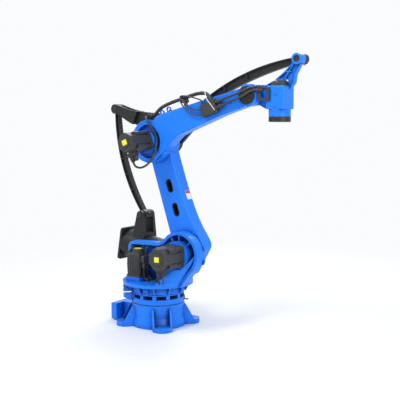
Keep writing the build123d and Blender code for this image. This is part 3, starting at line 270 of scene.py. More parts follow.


# Finishes, with the width of worn edges in millimetres. The grime colours are also painted shade in corners, and
# the recess colour is painted shade deep inside a piece.

FINISHES = {
    "blue_paint": dict(
        colour=(0.010, 0.205, 0.90), roughness=0.36, coat=0.10, specular=0.22, worn=(0.08, 0.34, 0.95),
        wear=0.75, edge=3.5, grain=240.0, grain_height=0.22, cast=0.16, mottle=0.07,
        # Grime that is also painted shade in corners, and painted shade deep inside the piece
        grime_and_shade=(0.004, 0.045, 0.26), recess_shade=(0.003, 0.05, 0.30), dust=0.03),
    "dark_paint": dict(
        colour=(0.018, 0.018, 0.019), roughness=0.44, specular=0.28, worn=(0.11, 0.11, 0.11), wear=0.8,
        edge=3.0, grain=260.0, cast=0.25, mottle=0.16, grime_and_shade=(0.010, 0.010, 0.009), dust=0.07),
    "motor_black": dict(
        colour=(0.042, 0.042, 0.043), roughness=0.46, specular=0.35, worn=(0.13, 0.13, 0.125), wear=0.8,
        edge=2.2, grain=420.0, grain_height=0.35, mottle=0.14, grime_and_shade=(0.008, 0.008, 0.008), dust=0.10),
    "hose_black": dict(
        colour=(0.026, 0.026, 0.027), roughness=0.42, grain=600.0, grain_height=0.2, mottle=0.18, dust=0.10),
    "dark_steel": dict(
        colour=(0.045, 0.045, 0.046), roughness=0.38, metallic=0.6, specular=0.3, worn=(0.30, 0.30, 0.30),
        wear=0.6, edge=1.6, grain=500.0, grain_height=0.15, mottle=0.20, grime_and_shade=(0.012, 0.012, 0.012)),
    "bolt_steel": dict(
        colour=(0.050, 0.050, 0.052), roughness=0.32, metallic=0.6, worn=(0.3, 0.3, 0.3), wear=0.6, edge=0.8,
        grain=700.0, mottle=0.2),
    "bright_steel": dict(
        colour=(0.42, 0.42, 0.43), roughness=0.28, metallic=0.9, worn=(0.7, 0.7, 0.7), wear=0.4, edge=0.8,
        grain=700.0, grain_height=0.12, mottle=0.12),
    "yellow_label": dict(
        colour=(0.86, 0.80, 0.035), roughness=0.40, grain=900.0, grain_height=0.08, mottle=0.07),
    "white_label": dict(
        colour=(0.80, 0.80, 0.80), roughness=0.42, grain=900.0, grain_height=0.08, mottle=0.04),
    "red_label": dict(
        colour=(0.62, 0.035, 0.02), roughness=0.42, grain=900.0, grain_height=0.08, mottle=0.08),
    "tie_nylon": dict(
        colour=(0.62, 0.61, 0.57), roughness=0.42, grain=800.0, grain_height=0.12, mottle=0.06),
    # Near-black painted shade, for the inside of slots and grooves
    "painted_shade_black": dict(
        colour=(0.006, 0.006, 0.007), roughness=0.8, grain=200.0, mottle=0.2),
}
MATERIAL = {name: finish_material(name, **values) for name, values in FINISHES.items()}


def dress_frame():
    """Give every node of the frame the procedural finish of its slot."""
    for part in frame["record"]["subparts"]:
        mesh = frame["nodes"][part["node"]].data
        for index in range(max(1, len(mesh.materials))):
            if index < len(mesh.materials):
                mesh.materials[index] = MATERIAL[part["material_slot"]]
            else:
                mesh.materials.append(MATERIAL[part["material_slot"]])


# Mesh building. Sizes and shifts are in millimetres, and points in the world in metres.

def ring(radius, height, sides, corners=0):
    """Ring of points about Z. With corners, it follows a regular polygon of that circumradius."""
    points = []
    for index in range(sides):
        angle = 2 * math.pi * index / sides
        reach = radius
        if corners:
            part = math.pi / corners
            reach = radius * math.cos(part) / math.cos((angle + part) % (2 * part) - part)
        points.append(Vector((reach * math.cos(angle), reach * math.sin(angle), height)) * MM)
    return points


def rounded_ring(width, depth, corner, height, steps=4):
    """Rounded rectangle of points about Z."""
    points = []
    for quarter, (sx, sy) in enumerate(((1, 1), (-1, 1), (-1, -1), (1, -1))):
        for step in range(steps + 1):
            angle = math.pi / 2 * (quarter + step / steps)
            points.append(Vector((sx * (width / 2 - corner) + corner * math.cos(angle),
                                  sy * (depth / 2 - corner) + corner * math.sin(angle), height)) * MM)
    return points


class Form:
    """Points and faces of one piece, put together from lofts."""

    def __init__(self):
        self.points = []
        self.faces = []

    def loft(self, rings, place=Matrix(), start_cap=True, end_cap=True):
        """Skin over rings that all have the same number of points."""
        sides = len(rings[0])
        first = len(self.points)
        last = first + (len(rings) - 1) * sides
        for one in rings:
            self.points.extend(place @ point for point in one)
        for a in range(first, last, sides):
            b = a + sides
            for side in range(sides):
                after = (side + 1) % sides
                self.faces.append((a + side, a + after, b + after, b + side))
        if start_cap:
            self.faces.append(tuple(first + side for side in reversed(range(sides))))
        if end_cap:
            self.faces.append(tuple(last + side for side in range(sides)))
        return self

    def lathe(self, profile, place=Matrix(), sides=28, **caps):
        """Turned shape from (radius, height) pairs, or (radius, height, corners) for a polygon."""
        return self.loft([ring(entry[0], entry[1], sides, entry[2] if len(entry) > 2 else 0)
                          for entry in profile], place, **caps)

    def shell(self, profile, place, sides):
        """Turned shape that is open at both ends."""
        return self.lathe(profile, place, sides, start_cap=False, end_cap=False)

    def block(self, width, depth, height, corner, edge, place=Matrix(), bottom=0):
        """Rounded rectangular block that stands on the place, with broken upper edges."""
        top = bottom + height
        return self.loft([
            rounded_ring(width, depth, corner, bottom),
            rounded_ring(width, depth, corner, top - edge),
            rounded_ring(width - 0.6 * edge, depth - 0.6 * edge, corner, top - 0.3 * edge),
            rounded_ring(width - 2 * edge, depth - 2 * edge, max(corner - edge, 0.2 * edge), top)], place)

    def screw(self, place, radius, height=None):
        """Socket head screw with a washer."""
        tall = height or radius * 1.05
        self.lathe(((radius * 1.45, 0), (radius * 1.45, radius * 0.14), (radius * 1.35, radius * 0.22),
                    (radius * 0.98, radius * 0.22)), place, sides=20, end_cap=False)
        self.lathe(((radius, 0), (radius, tall * 0.82), (radius * 0.86, tall), (radius * 0.56, tall, 6),
                    (radius * 0.52, tall * 0.45, 6)), place, sides=24, start_cap=False)
        return self

    def screw_circle(self, place, count, circle, radius, first=0.0, height=None):
        """Screws evenly spaced on a circle of that radius, the first at an angle in degrees."""
        for one in around(place, count, circle, first):
            self.screw(one, radius, height)
        return self

    def screw_grid(self, place, columns, rows, radius):
        for x in columns:
            for y in rows:
                self.screw(moved(place, x=x, y=y), radius)
        return self

    def nut(self, place, radius, height):
        """Hexagonal nut with its corners turned off and a round hole left dark."""
        return self.lathe(((radius, 0, 6), (radius, height * 0.85, 6), (radius * 0.88, height),
                           (radius * 0.55, height), (radius * 0.5, height * 0.8)), place, sides=24)

    def tube(self, path, radius, sides=14, wave=0, pitch=None):
        """Tube round a path of points. With a wave, its radius swells once in each pitch."""
        rings = []
        travelled = 0.0
        side = None
        for index, point in enumerate(path):
            before = path[max(index - 1, 0)]
            after = path[min(index + 1, len(path) - 1)]
            heading = (after - before).normalized()
            if side is None:
                side = heading.orthogonal().normalized()
            side = (side - heading * side.dot(heading)).normalized()
            other = heading.cross(side)
            if index:
                travelled += (point - before).length / MM
            reach = radius * MM
            if wave:
                reach += wave * MM * math.cos(2 * math.pi * travelled / pitch)
            rings.append([point + (side * math.cos(turn) + other * math.sin(turn)) * reach
                          for turn in (2 * math.pi * step / sides for step in range(sides))])
        return self.loft(rings)

    def ribbon(self, path, width, thickness, outward):
        """Flat strap along a path, with its faces turned towards the outward direction."""
        rings = []
        for index, point in enumerate(path):
            heading = (path[min(index + 1, len(path) - 1)] - path[max(index - 1, 0)]).normalized()
            face = (outward - heading * outward.dot(heading)).normalized()
            cross = heading.cross(face)
            rings.append([point + (cross * (width / 2 * a) + face * (thickness / 2 * b)) * MM
                          for a, b in ((1, 1), (-1, 1), (-1, -1), (1, -1))])
        return self.loft(rings)


def piece(name, form, finish, body, smooth=35.0):
    """Visible piece of the scene. It rides on its body, unless it is given none and left free."""
    mesh = bpy.data.meshes.new(name)
    mesh.from_pydata(form.points, [], form.faces)
    mesh.validate()
    mesh.set_sharp_from_angle(angle=math.radians(smooth))
    mesh.polygons.foreach_set("use_smooth", [len(face.vertices) <= 4 for face in mesh.polygons])
    mesh.materials.append(MATERIAL[finish])
    made = bpy.data.objects.new(name, mesh)
    scene.collection.objects.link(made)
    if body:
        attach(made, body)
    return made


# Placements

def facing(origin, outward, sideways=None):
    """Placement whose Z looks outward and whose X lies close to the sideways direction."""
    z = Vector(outward).normalized()
    x = Vector(sideways) if sideways is not None else z.orthogonal()
    x = (x - z * x.dot(z)).normalized()
    y = z.cross(x)
    place = Matrix((x, y, z)).transposed().to_4x4()
    place.translation = Vector(origin)
    return place


def at_pivot(pivot, y, outward, sideways=None):
    """Placement on the line of a pivot, at a world Y."""
    return facing((pivot.x, y, pivot.z), outward, sideways)


def around(place, count, radius, first=0.0):
    """Placements on a circle about the Z of a placement."""
    return [place @ Matrix.Rotation(math.radians(first + 360.0 / count * index), 4, "Z")
            @ Matrix.Translation((radius * MM, 0, 0)) for index in range(count)]


def moved(place, x=0, y=0, z=0):
    return place @ Matrix.Translation((x * MM, y * MM, z * MM))


def turned(place, angle):
    return place @ Matrix.Rotation(math.radians(angle), 4, "Z")


def wall_faces(place, height, reach, count=4):
    """Placements on the walls round a body, at a height: Z looks outwards and X runs down the wall."""
    walls = [turned(moved(place, z=height), 360.0 / count * side) for side in range(count)]
    return [moved(wall, x=reach) @ Matrix.Rotation(QUARTER_TURN, 4, "Y") for wall in walls]


TREES = {}


def hit(name, start, heading):
    """Point and normal where a ray meets a node of the frame."""
    if name not in TREES:
        mesh = frame["nodes"][name].data
        TREES[name] = BVHTree.FromPolygons([v.co for v in mesh.vertices], [p.vertices for p in mesh.polygons])
    point, normal, _, _ = TREES[name].ray_cast(Vector(start), Vector(heading).normalized())
    return point, normal


def on_member(origin, rise, along, across, y):
    """Point given along and across a member, with its world Y."""
    return Vector((origin.x + along * math.cos(rise) - across * math.sin(rise), y,
                   origin.z + along * math.sin(rise) + across * math.cos(rise)))


def forearm_point(along, across, y):
    """Point on the forearm, given in millimetres as in the route lists."""
    return on_member(ELBOW, FOREARM_RISE, along * MM, across * MM, y * MM)


def spline_points(route):
    """Points along the smooth curve of a route."""
    data = bpy.data.curves.new("route", "CURVE")
    data.dimensions = "3D"
    spline = data.splines.new("NURBS")
    spline.points.add(len(route) - 1)
    for point, place in zip(spline.points, route):
        point.co = (*place, 1.0)
    spline.order_u = 3
    spline.use_endpoint_u = True
    spline.resolution_u = 12
    guide = bpy.data.objects.new("route", data)
    mesh = bpy.data.meshes.new_from_object(guide)
    points = [vertex.co.copy() for vertex in mesh.vertices]
    bpy.data.objects.remove(guide)
    bpy.data.meshes.remove(mesh)
    return points


def even_points(points, step):
    """Points spaced evenly along a line of points."""
    spaced = [points[0]]
    left = step
    for start, end in zip(points, points[1:]):
        length = (end - start).length
        done = 0.0
        while length - done >= left:
            done += left
            spaced.append(start.lerp(end, done / length))
            left = step
        left -= length - done
    spaced.append(points[-1])
    return spaced


# Studio

def make_camera():
    data = bpy.data.cameras.new("camera")
    data.lens = CAMERA_LENS
    data.sensor_width = SENSOR_WIDTH
    data.clip_end = CLIP_END
    camera = bpy.data.objects.new("camera", data)
    camera.location = CAMERA_PLACE
    camera.rotation_euler = (math.radians(CAMERA_TILT), 0.0, math.radians(CAMERA_TURN))
    scene.collection.objects.link(camera)
    scene.camera = camera


def area_light(name, place, target, size, power):
    data = bpy.data.lights.new(name, "AREA")
    data.shape = "RECTANGLE"
    data.size = size[0]
    data.size_y = size[1]
    data.energy = power
    light = bpy.data.objects.new(name, data)
    light.location = place
    light.rotation_euler = (Vector(target) - Vector(place)).to_track_quat("-Z", "Y").to_euler()
    scene.collection.objects.link(light)


def seen_rays(tree):
    """One where a camera, mirror or glass ray arrives, and zero for the light on surfaces."""
    path = node(tree, "ShaderNodeLightPath")
    seen = arithmetic(tree, "MAXIMUM", path.outputs["Is Camera Ray"], path.outputs["Is Glossy Ray"])
    return arithmetic(tree, "MAXIMUM", seen, path.outputs["Is Transmission Ray"])


def mix_shaders(tree, factor, first, second, out):
    mix = node(tree, "ShaderNodeMixShader")
    for slot, source in enumerate((factor, first, second)):
        tree.links.new(source, mix.inputs[slot])
    tree.links.new(mix.outputs[0], out.inputs["Surface"])


def make_studio():
    """World that lights softly, looks pale to the camera and in mirrors, and three lamps."""
    world = bpy.data.worlds.new("studio")
    scene.world = world
    world.use_nodes = True
    tree = world.node_tree
    tree.nodes.clear()
    dim = node(tree, "ShaderNodeBackground", Color=SKY_COLOUR, Strength=SKY_STRENGTH)
    bright = node(tree, "ShaderNodeBackground", Color=BACKDROP_COLOUR, Strength=1.0)
    out = node(tree, "ShaderNodeOutputWorld")
    mix_shaders(tree, seen_rays(tree), dim.outputs[0], bright.outputs[0], out)
    for lamp in LAMPS:
        area_light(*lamp)


def make_floor():
    """Pale floor that keeps the shadow near the object and fades into the backdrop."""
    half = FLOOR_SIZE / 2
    mesh = bpy.data.meshes.new("floor")
    corners = [(-half, -half, 0), (half, -half, 0), (half, half, 0), (-half, half, 0)]
    mesh.from_pydata(corners, [], [(0, 1, 2, 3)])
    floor = bpy.data.objects.new("floor", mesh)
    scene.collection.objects.link(floor)
    material = bpy.data.materials.new("floor")
    material.use_nodes = True
    tree = material.node_tree
    shader = tree.nodes["Principled BSDF"]
    shader.inputs["Base Color"].default_value = FLOOR_COLOUR
    shader.inputs["Roughness"].default_value = FLOOR_ROUGHNESS
    length = tree.nodes.new("ShaderNodeVectorMath")
    length.operation = "LENGTH"
    tree.links.new(node(tree, "ShaderNodeTexCoord").outputs["Object"], length.inputs[0])
    far = ramp(tree, length.outputs["Value"], FLOOR_SOLID_RADIUS, FLOOR_FADE_RADIUS)
    fade = arithmetic(tree, "MULTIPLY", far, seen_rays(tree))
    clear = node(tree, "ShaderNodeBsdfTransparent")
    mix_shaders(tree, fade, shader.outputs[0], clear.outputs[0], tree.nodes["Material Output"])
    mesh.materials.append(material)


# Side motors

J2_LENGTH = 259
J2_ACROSS = 172
J2_FLANGE_SIDE = 184
J2_FRONT_Y = -0.135
J3_LENGTH = 276
J3_ACROSS = 150
J3_FLANGE_SIDE = 160
J3_FRONT_Y = -0.139
MOTOR_FLANGE = 16
CAP_SETBACK = 7
MOTOR_BODY_SHARE = 0.72
HUB_SHARE = 0.31
RIB_START = 36
SLOT_START = 30
MOTOR_LABEL = (50, 45, 0.6, 3, 0.2)
SOCKET_OFFSETS = (-66, -22)
SOCKET_SHARE = 0.56
SOCKET_DROP = 40
LOCK_RING = ((17.5, 4), (20.5, 6), (20.5, 24), (18.5, 27), (17.2, 27))
LOCK_RING_NOTCH = (1.6, 2.4, 13, 0.6, 0.4)
LOCK_RING_NOTCHES = 18
LOCK_RING_RADIUS = 20.6


def motor_place(centre, front_y, rise):
    """Placement of a side motor: Z runs from its flange to its rear hub."""
    origin = Matrix.Translation((centre.x, front_y, centre.z))
    return origin @ Matrix.Rotation(-rise, 4, "Y") @ Matrix.Rotation(QUARTER_TURN, 4, "X")


J2_PLACE = motor_place(SHOULDER, J2_FRONT_Y, 0)
J3_PLACE = motor_place(ELBOW, J3_FRONT_Y, FOREARM_RISE)


def motor_screws(place, across, flange_side, length):
    screws = Form()
    screws.screw_circle(moved(place, z=MOTOR_FLANGE), 4, flange_side * 0.60, 6.5, 45)
    screws.screw_circle(moved(place, z=length - CAP_SETBACK), 4, across * 0.44, 4.5, 45)
    return screws


def motor_trim(place, across, length):
    """Collar round the rear hub, ribs along the body and pads round the rear band."""
    trim = Form()
    hub = across * HUB_SHARE
    collar = ((hub + 1, 0), (hub + 1, 3.5), (hub + 4, 3.5), (hub + 6, 1), (hub + 6, 0))
    trim.shell(collar, moved(place, z=length - CAP_SETBACK), 48)
    band = length * MOTOR_BODY_SHARE
    rib_length = band - 55
    for face in wall_faces(place, RIB_START + rib_length / 2, across / 2 - 7.5):
        trim.block(rib_length, across * 0.17, 7.2, 3, 1.5, face)
        for edge in (-1, 1):
            trim.block(rib_length, across * 0.035, 6, 2, 1, moved(face, y=edge * across * 0.21))
    for face in wall_faces(place, band + 18, across * 0.508 - 1, 8):
        trim.block(18, across * 0.17, 2.2, 3, 1, face)
    return trim


def motor_groove_shade(place, across, length):
    """Thin near-black strips beside the ribs, painted shade that stands for grooves."""
    groove_shade = Form()
    slot_length = length * 0.20
    for face in wall_faces(place, SLOT_START + slot_length / 2, across / 2):
        for offset in (-0.31, 0.31):
            groove_shade.block(slot_length, across * 0.075, 0.9, across * 0.030, 0.4, moved(face, y=across * offset))
    return groove_shade


def motor_lock_rings(place, across, length):
    """Notched rings on the two sockets below the motor."""
    rings = Form()
    for x in SOCKET_OFFSETS:
        socket = moved(place, x, -across / 2 - SOCKET_DROP, length * SOCKET_SHARE)
        mouth = facing(socket.translation, place.to_3x3() @ NEAR)
        rings.shell(LOCK_RING, mouth, 36)
        for notch in around(moved(mouth, z=9), LOCK_RING_NOTCHES, LOCK_RING_RADIUS):
            rings.block(*LOCK_RING_NOTCH, notch)
    return rings


def dress_motor(prefix, body, place, across, flange_side, length):
    piece(f"{prefix}_screws", motor_screws(place, across, flange_side, length), "bolt_steel", body)
    piece(f"{prefix}_trim", motor_trim(place, across, length), "motor_black", body)
    # Painted shade of the grooves beside the ribs
    piece(f"{prefix}_slots", motor_groove_shade(place, across, length), "painted_shade_black", body)
    piece(f"{prefix}_label", Form().block(*MOTOR_LABEL, moved(place, z=length)), "yellow_label", body)
    piece(f"{prefix}_lock_rings", motor_lock_rings(place, across, length), "bolt_steel", body)


# Turning motor on the deck

J1_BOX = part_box("j1_motor")
J1_AXIS = Vector(((J1_BOX[0].x + J1_BOX[1].x) / 2, (J1_BOX[0].y + J1_BOX[1].y) / 2, 0))
J1_SIDE = 125
J1_BODY_TOP = 0.649
J1_LABEL = ((34, 0), (34, 0.5), (33.5, 0.7))
J1_COLLAR = ((50.5, 0), (55.5, 1), (55.5, 6), (52.5, 9), (50.3, 9))
J1_RIB_OFFSETS = (-42, -21, 0, 21, 42)
J1_SOCKET_BOX = (86, 60, 34, 8, 4)
J1_PLUG = ((19, -2), (19, 22), (21, 24), (21, 44), (18.5, 47), (14, 50), (13.5, 60), (9.5, 72))


def j1_level(height):
    """Upright placement on the axis of the turning motor."""
    return facing(J1_AXIS + UP * height, UP, ALONG_X)


def dress_j1_motor():
    piece("j1_motor_label", Form().lathe(J1_LABEL, j1_level(J1_BOX[1].z), sides=48), "yellow_label", "turret")

    screws = Form()
    screws.screw_circle(moved(j1_level(J1_BOX[0].z), z=MOTOR_FLANGE), 4, 97, 5, 45)
    screws.screw_circle(j1_level(J1_BODY_TOP), 4, 72, 4, 45)
    piece("j1_motor_screws", screws, "bolt_steel", "turret")

    trim = Form()
    height = (J1_BODY_TOP - J1_BOX[0].z) / MM - 60
    for face in wall_faces(j1_level(J1_BOX[0].z), RIB_START + height / 2, J1_SIDE / 2):
        for offset in J1_RIB_OFFSETS:
            trim.block(height, 11, 3.5, 3, 1.5, moved(face, y=offset))
    trim.shell(J1_COLLAR, j1_level(J1_BODY_TOP), 40)
    piece("j1_motor_trim", trim, "motor_black", "turret")

    box = Form()
    wall = facing(moved(j1_level(J1_BODY_TOP), x=J1_SIDE / 2 + 3, z=-50).translation, ALONG_X, FAR)
    box.block(*J1_SOCKET_BOX, wall)
    for offset in (-20, 20):
        box.lathe(J1_PLUG, facing(moved(wall, offset, -30, 18).translation, -UP))
    piece("j1_motor_connectors", box, "motor_black", "turret")


# Cables that run down to the deck, each as points in millimetres from its outlet

DECK_TOP = 0.403
CABLE_RADIUS = 8.5
THIN_CABLE_RADIUS = 5.5
WEB_HOSE_RADIUS = 12.5
J1_OUTLET = moved(j1_level(J1_BODY_TOP), x=J1_SIDE / 2 + 21, z=-145).translation
J2_OUTLET = moved(J2_PLACE, y=-J2_ACROSS / 2 - 82, z=J2_LENGTH * SOCKET_SHARE).translation
WEB_OUTLET = Vector((-0.205, -0.026, 0.688))
DECK_CABLES = (
    ("j1_power_cable", CABLE_RADIUS, J1_OUTLET, (
        (0, -20, 0), (0, -20, -40), (4, -20, -90), (20, -12, -79), (30, -8, -101))),
    ("j1_signal_cable", THIN_CABLE_RADIUS, J1_OUTLET, (
        (0, 20, 0), (0, 20, -40), (10, 24, -80), (34, 30, -74), (40, 32, -101))),
    ("j2_power_cable", CABLE_RADIUS, J2_OUTLET, (
        (-66, 0, 0), (-66, 0, -35), (-92, 30, -62), (-150, 90, -70), (-200, 140, -60), (-226, 172, -65),
        (-230, 180, -92))),
    ("j2_signal_cable", THIN_CABLE_RADIUS, J2_OUTLET, (
        (-22, 0, 0), (-22, 0, -35), (-45, 30, -66), (-100, 96, -78), (-160, 150, -70), (-192, 192, -65),
        (-196, 200, -92))),
    ("web_hose", WEB_HOSE_RADIUS, WEB_OUTLET, (
        (0, 0, 0), (0, -44, 2), (-1, -92, -6), (-11, -114, -52), (-21, -116, -128), (-23, -108, -208),
        (-23, -104, -253), (-23, -104, -285))),
    ("j1_brake_cable", THIN_CABLE_RADIUS, J1_OUTLET, (
        (0, 0, 123), (0, 0, 155), (4, 10, 195), (22, 52, 203), (34, 86, 181), (36, 98, 125), (30, 96, -4),
        (20, 92, -74), (20, 92, -101))))


def gland_ring(form, place, radius):
    """Hexagonal gland through which a cable of that radius enters the deck."""
    form.lathe(((radius * 2.3, 0), (radius * 2.3, 4), (radius * 2, 6), (radius * 1.7, 6, 6),
                (radius * 1.7, 15, 6), (radius * 1.25, 21), (radius * 1.02, 26)), place, sides=24)


def deck_cables():
    glands = Form()
    for name, radius, outlet, route in DECK_CABLES:
        points = [outlet + Vector(point) * MM for point in route]
        piece(name, Form().tube(spline_points(points), radius), "hose_black", "turret")
        gland_ring(glands, facing(points[-1], UP), radius)
    piece("deck_glands", glands, "motor_black", "turret")


# Turret

WEB_SOCKET = ((34, -3), (34, 4), (30, 6), (24, 6, 6), (24, 20, 6), (18, 28), (13.5, 40))
SKIRT_BLOCK = (62, 36, 34, 3, 3)
SKIRT_BLOCK_ANGLES = (-76, 76)
SKIRT_BLOCK_REACH = 0.238
SKIRT_BLOCK_Z = 0.3385
STOP_ANGLE = -130.0
STOP_REACH = 0.312
STOP_Z = 0.3415
BLOCK_SCREW = 5.5
DECK_SCREW = 6.5
DECK_SCREW_SPOTS = ((-115.7, 0.293), (115.7, 0.293), (176, 0.288), (-165, 0.290), (150, 0.290))


def on_wall(angle, reach, height):
    """Placement on an upright wall about the turning axis: Z looks outwards and X up."""
    return Matrix.Rotation(math.radians(angle), 4, "Z") @ facing((reach, 0, height), ALONG_X, UP)


def turret_details():
    socket = Form().lathe(WEB_SOCKET, facing(WEB_OUTLET, NEAR), sides=36)
    piece("web_hose_socket", socket, "motor_black", "turret")

    blocks = Form()
    screws = Form()
    for angle in SKIRT_BLOCK_ANGLES:
        face = on_wall(angle, SKIRT_BLOCK_REACH, SKIRT_BLOCK_Z)
        blocks.block(*SKIRT_BLOCK, face)
        screws.screw_grid(moved(face, z=SKIRT_BLOCK[2]), (-17, 17), (0,), BLOCK_SCREW)
    screws.screw_grid(on_wall(STOP_ANGLE, STOP_REACH, STOP_Z), (-18, 18), (0,), BLOCK_SCREW)
    piece("skirt_stop_blocks", blocks, "blue_paint", "turret")

    for angle, radius in DECK_SCREW_SPOTS:
        turn = math.radians(angle)
        spot = Vector((radius * math.cos(turn), radius * math.sin(turn), DECK_TOP))
        screws.screw(facing(spot, UP), DECK_SCREW)
    piece("turret_screws", screws, "bolt_steel", "turret")


# Base

FOOT_COUNT = 4
FOOT_TOP = 0.040
JACK_REACH = 0.302
JACK_OFFSETS = (0.046, -0.046)
JACK_SCREW = ((8.5, 0), (8.5, 4), (7.8, 5), (4.5, 5, 6), (4.2, 1, 6))
BASE_RING_RADIUS = 0.233
ZERO_MARK_ANGLE = 33.0
BOX_LID = (262, 112, 4, 8, 1.2)
BOX_SCREW_COLUMNS = (-122, -41, 41, 122)
BOX_SCREW_ROWS = (-48, 48)
BOX_SOCKET_COLUMNS = (-62, 62)


def foot_jacks():
    """Two levelling screws on each foot pad."""
    jacks = Form()
    for foot in range(FOOT_COUNT):
        turn = Matrix.Rotation(math.radians(45.0 + 90.0 * foot), 4, "Z")
        for offset in JACK_OFFSETS:
            jacks.lathe(JACK_SCREW, turn @ facing((JACK_REACH, offset, FOOT_TOP), UP), sides=24)
    piece("foot_jack_screws", jacks, "bolt_steel", "base")


def zero_mark():
    """Small bent bracket on the base's top ring."""
    bracket = Form()
    turn = Matrix.Rotation(math.radians(ZERO_MARK_ANGLE), 4, "Z")
    shelf = turn @ facing((BASE_RING_RADIUS + 0.019, 0, 0.222), UP, ALONG_X)
    upright = turn @ facing((BASE_RING_RADIUS, 0, 0.240), ALONG_X, FAR)
    bracket.block(36, 36, 5, 2, 1, shelf)
    bracket.block(36, 40, 5, 2, 1, upright)
    piece("zero_mark_bracket", bracket, "dark_paint", "base")


def cable_box_details():
    low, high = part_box("cable_box")
    rear = facing((low.x, 0, (low.z + high.z) / 2), -ALONG_X, FAR)
    piece("cable_box_cover", Form().block(*BOX_LID, rear), "blue_paint", "base")
    lid_face = moved(rear, z=BOX_LID[2])
    screws = Form().screw_grid(lid_face, BOX_SCREW_COLUMNS, BOX_SCREW_ROWS, 3.6)
    piece("cable_box_screws", screws, "bolt_steel", "base")
    sockets = Form()
    for x in BOX_SOCKET_COLUMNS:
        sockets.block(92, 46, 22, 6, 2, moved(lid_face, x=x))
        sockets.block(78, 34, 12, 5, 3, moved(lid_face, x=x, z=22))
        for side in (-1, 1):
            sockets.block(6, 30, 10, 2, 1, moved(lid_face, x=x + side * 49, z=6))
    piece("cable_box_sockets", sockets, "motor_black", "base")


# Lower arm

ARM_NEAR_Y = 0.015
ARM_FAR_Y = 0.150
ARM_SLOT_OFFSETS = (0.388, 0.604)
ARM_SLOT_ACROSS = -0.016
ARM_SLOT_LENGTH = 108
ARM_SLOT_WIDTH = 46
ARM_SLOT_DEPTH = 60
RIM_BOSS = (24, 52, 11, 11, 3)
RIM_BOSS_ANGLES = (62.5, 17.5, 107.5, -18)
RIM_BOSS_REACH = 0.1985
PLATE = (66, 82, 0.8, 5, 0.3)
PLATE_BAND = (60, 26, 0.3, 3, 0.1)
PLATE_ALONG = 0.487
PLATE_Y = 0.104
SHOULDER_COVER = ((128, -1), (128, 6), (124, 9), (100, 9), (97, 13), (40, 13), (36, 9))
ELBOW_SCREW_CIRCLE = 161.5


def slot_ring(grown, height):
    """Outline of a slot of the lower arm, grown all round, at a height."""
    return rounded_ring(ARM_SLOT_LENGTH + 2 * grown, ARM_SLOT_WIDTH + 2 * grown,
                        ARM_SLOT_WIDTH / 2 + grown - 0.2, height, 8)


def arm_slots():
    """Lining and raised rim of both slots, in near-black that paints the shade inside them."""
    shade_liner = Form()
    for offset in ARM_SLOT_OFFSETS:
        centre = on_member(SHOULDER, ARM_RISE, offset, ARM_SLOT_ACROSS, ARM_NEAR_Y)
        shade_liner.loft([slot_ring(-0.6, 4.5), slot_ring(-0.6, ARM_SLOT_DEPTH - 1)],
                   facing(centre, FAR, ARM_AXIS), start_cap=False)
        shade_liner.loft([slot_ring(7, 0), slot_ring(6, 2.2), slot_ring(0, 2.2), slot_ring(-1, -8)],
                   facing(centre + NEAR * 0.0003, NEAR, ARM_AXIS), start_cap=False, end_cap=False)
    piece("arm_slot_shade_liners", shade_liner, "painted_shade_black", "lower_arm")


def arm_bosses(screws):
    """Bosses on the shoulder rim, with a screw on each."""
    bosses = Form()
    for angle in RIM_BOSS_ANGLES:
        rise = math.radians(angle)
        centre = on_member(SHOULDER, rise, RIM_BOSS_REACH, 0, ARM_NEAR_Y)
        place = facing(centre, NEAR, (math.cos(rise), 0, math.sin(rise)))
        bosses.block(*RIM_BOSS, place, bottom=-6)
        screws.screw(moved(place, z=10), 4.5, 3)
    piece("arm_rim_bosses", bosses, "blue_paint", "lower_arm")


def arm_plate():
    """Bare data plate with a red band, on the rear edge of the lower arm."""
    start = on_member(SHOULDER, ARM_RISE, PLATE_ALONG, -0.4, PLATE_Y)
    inward = Vector((-math.sin(ARM_RISE), 0, math.cos(ARM_RISE)))
    spot, normal = hit("lower_arm_casting", start, inward)
    place = facing(spot + normal * 0.0003, normal, FAR)
    piece("arm_plate", Form().block(*PLATE, place), "white_label", "lower_arm")
    upward = 1 if (place.to_3x3() @ FAR).z > 0 else -1
    band = Form().block(*PLATE_BAND, moved(place, y=upward * 26, z=PLATE[2]))
    piece("arm_plate_band", band, "red_label", "lower_arm")


def lower_arm_details():
    screws = Form()
    arm_slots()
    arm_bosses(screws)
    arm_plate()
    shoulder = at_pivot(SHOULDER, ARM_FAR_Y, FAR, ARM_AXIS)
    cover = Form().lathe(SHOULDER_COVER, shoulder, sides=64)
    piece("shoulder_bearing_cover", cover, "blue_paint", "lower_arm")
    screws.screw_circle(moved(shoulder, z=9), 12, 113, 5.5)
    for y, outward in ((ARM_NEAR_Y + 0.009, NEAR), (ARM_FAR_Y - 0.018, FAR)):
        elbow = at_pivot(ELBOW, y, outward, ARM_AXIS)
        screws.screw_circle(elbow, 24, ELBOW_SCREW_CIRCLE, 3.6, 7.5, 3)
    piece("lower_arm_screws", screws, "bolt_steel", "lower_arm")


# Linkage

ROCKER_NEAR_Y = 0.1465
ROCKER_FAR_Y = 0.2535
FRONT_PIN_Y = 0.059
ROCKER_CAPS = (
    (REAR_TOP, ROCKER_NEAR_Y, NEAR, 22, 5), (REAR_TOP, ROCKER_FAR_Y, FAR, 22, 5),
    (FRONT_PIN, FRONT_PIN_Y, NEAR, 19, 5), (ELBOW, ROCKER_FAR_Y, FAR, 30, 6))
HUB_COVER = ((98, -1), (98, 4), (94, 7), (60, 7), (56, 10), (36, 10), (34, 6))
ROD_SEAL = ((34, 0), (34, 1.2), (32, 1.8), (26.5, 1.8), (25.5, 0))
ROD_EYE_FACE = 0.032
GREASE_NIPPLE = ((5.5, 0, 6), (5.5, 4, 6), (3, 5), (3, 9), (4, 10), (4, 13), (2.5, 15))


def pin_cap(form, place, radius, height=5):
    form.lathe(((radius, 0), (radius, height * 0.6), (radius * 0.9, height), (radius * 0.42, height),
                (radius * 0.38, height * 0.5), (radius * 0.16, height * 0.4)), place, sides=32)


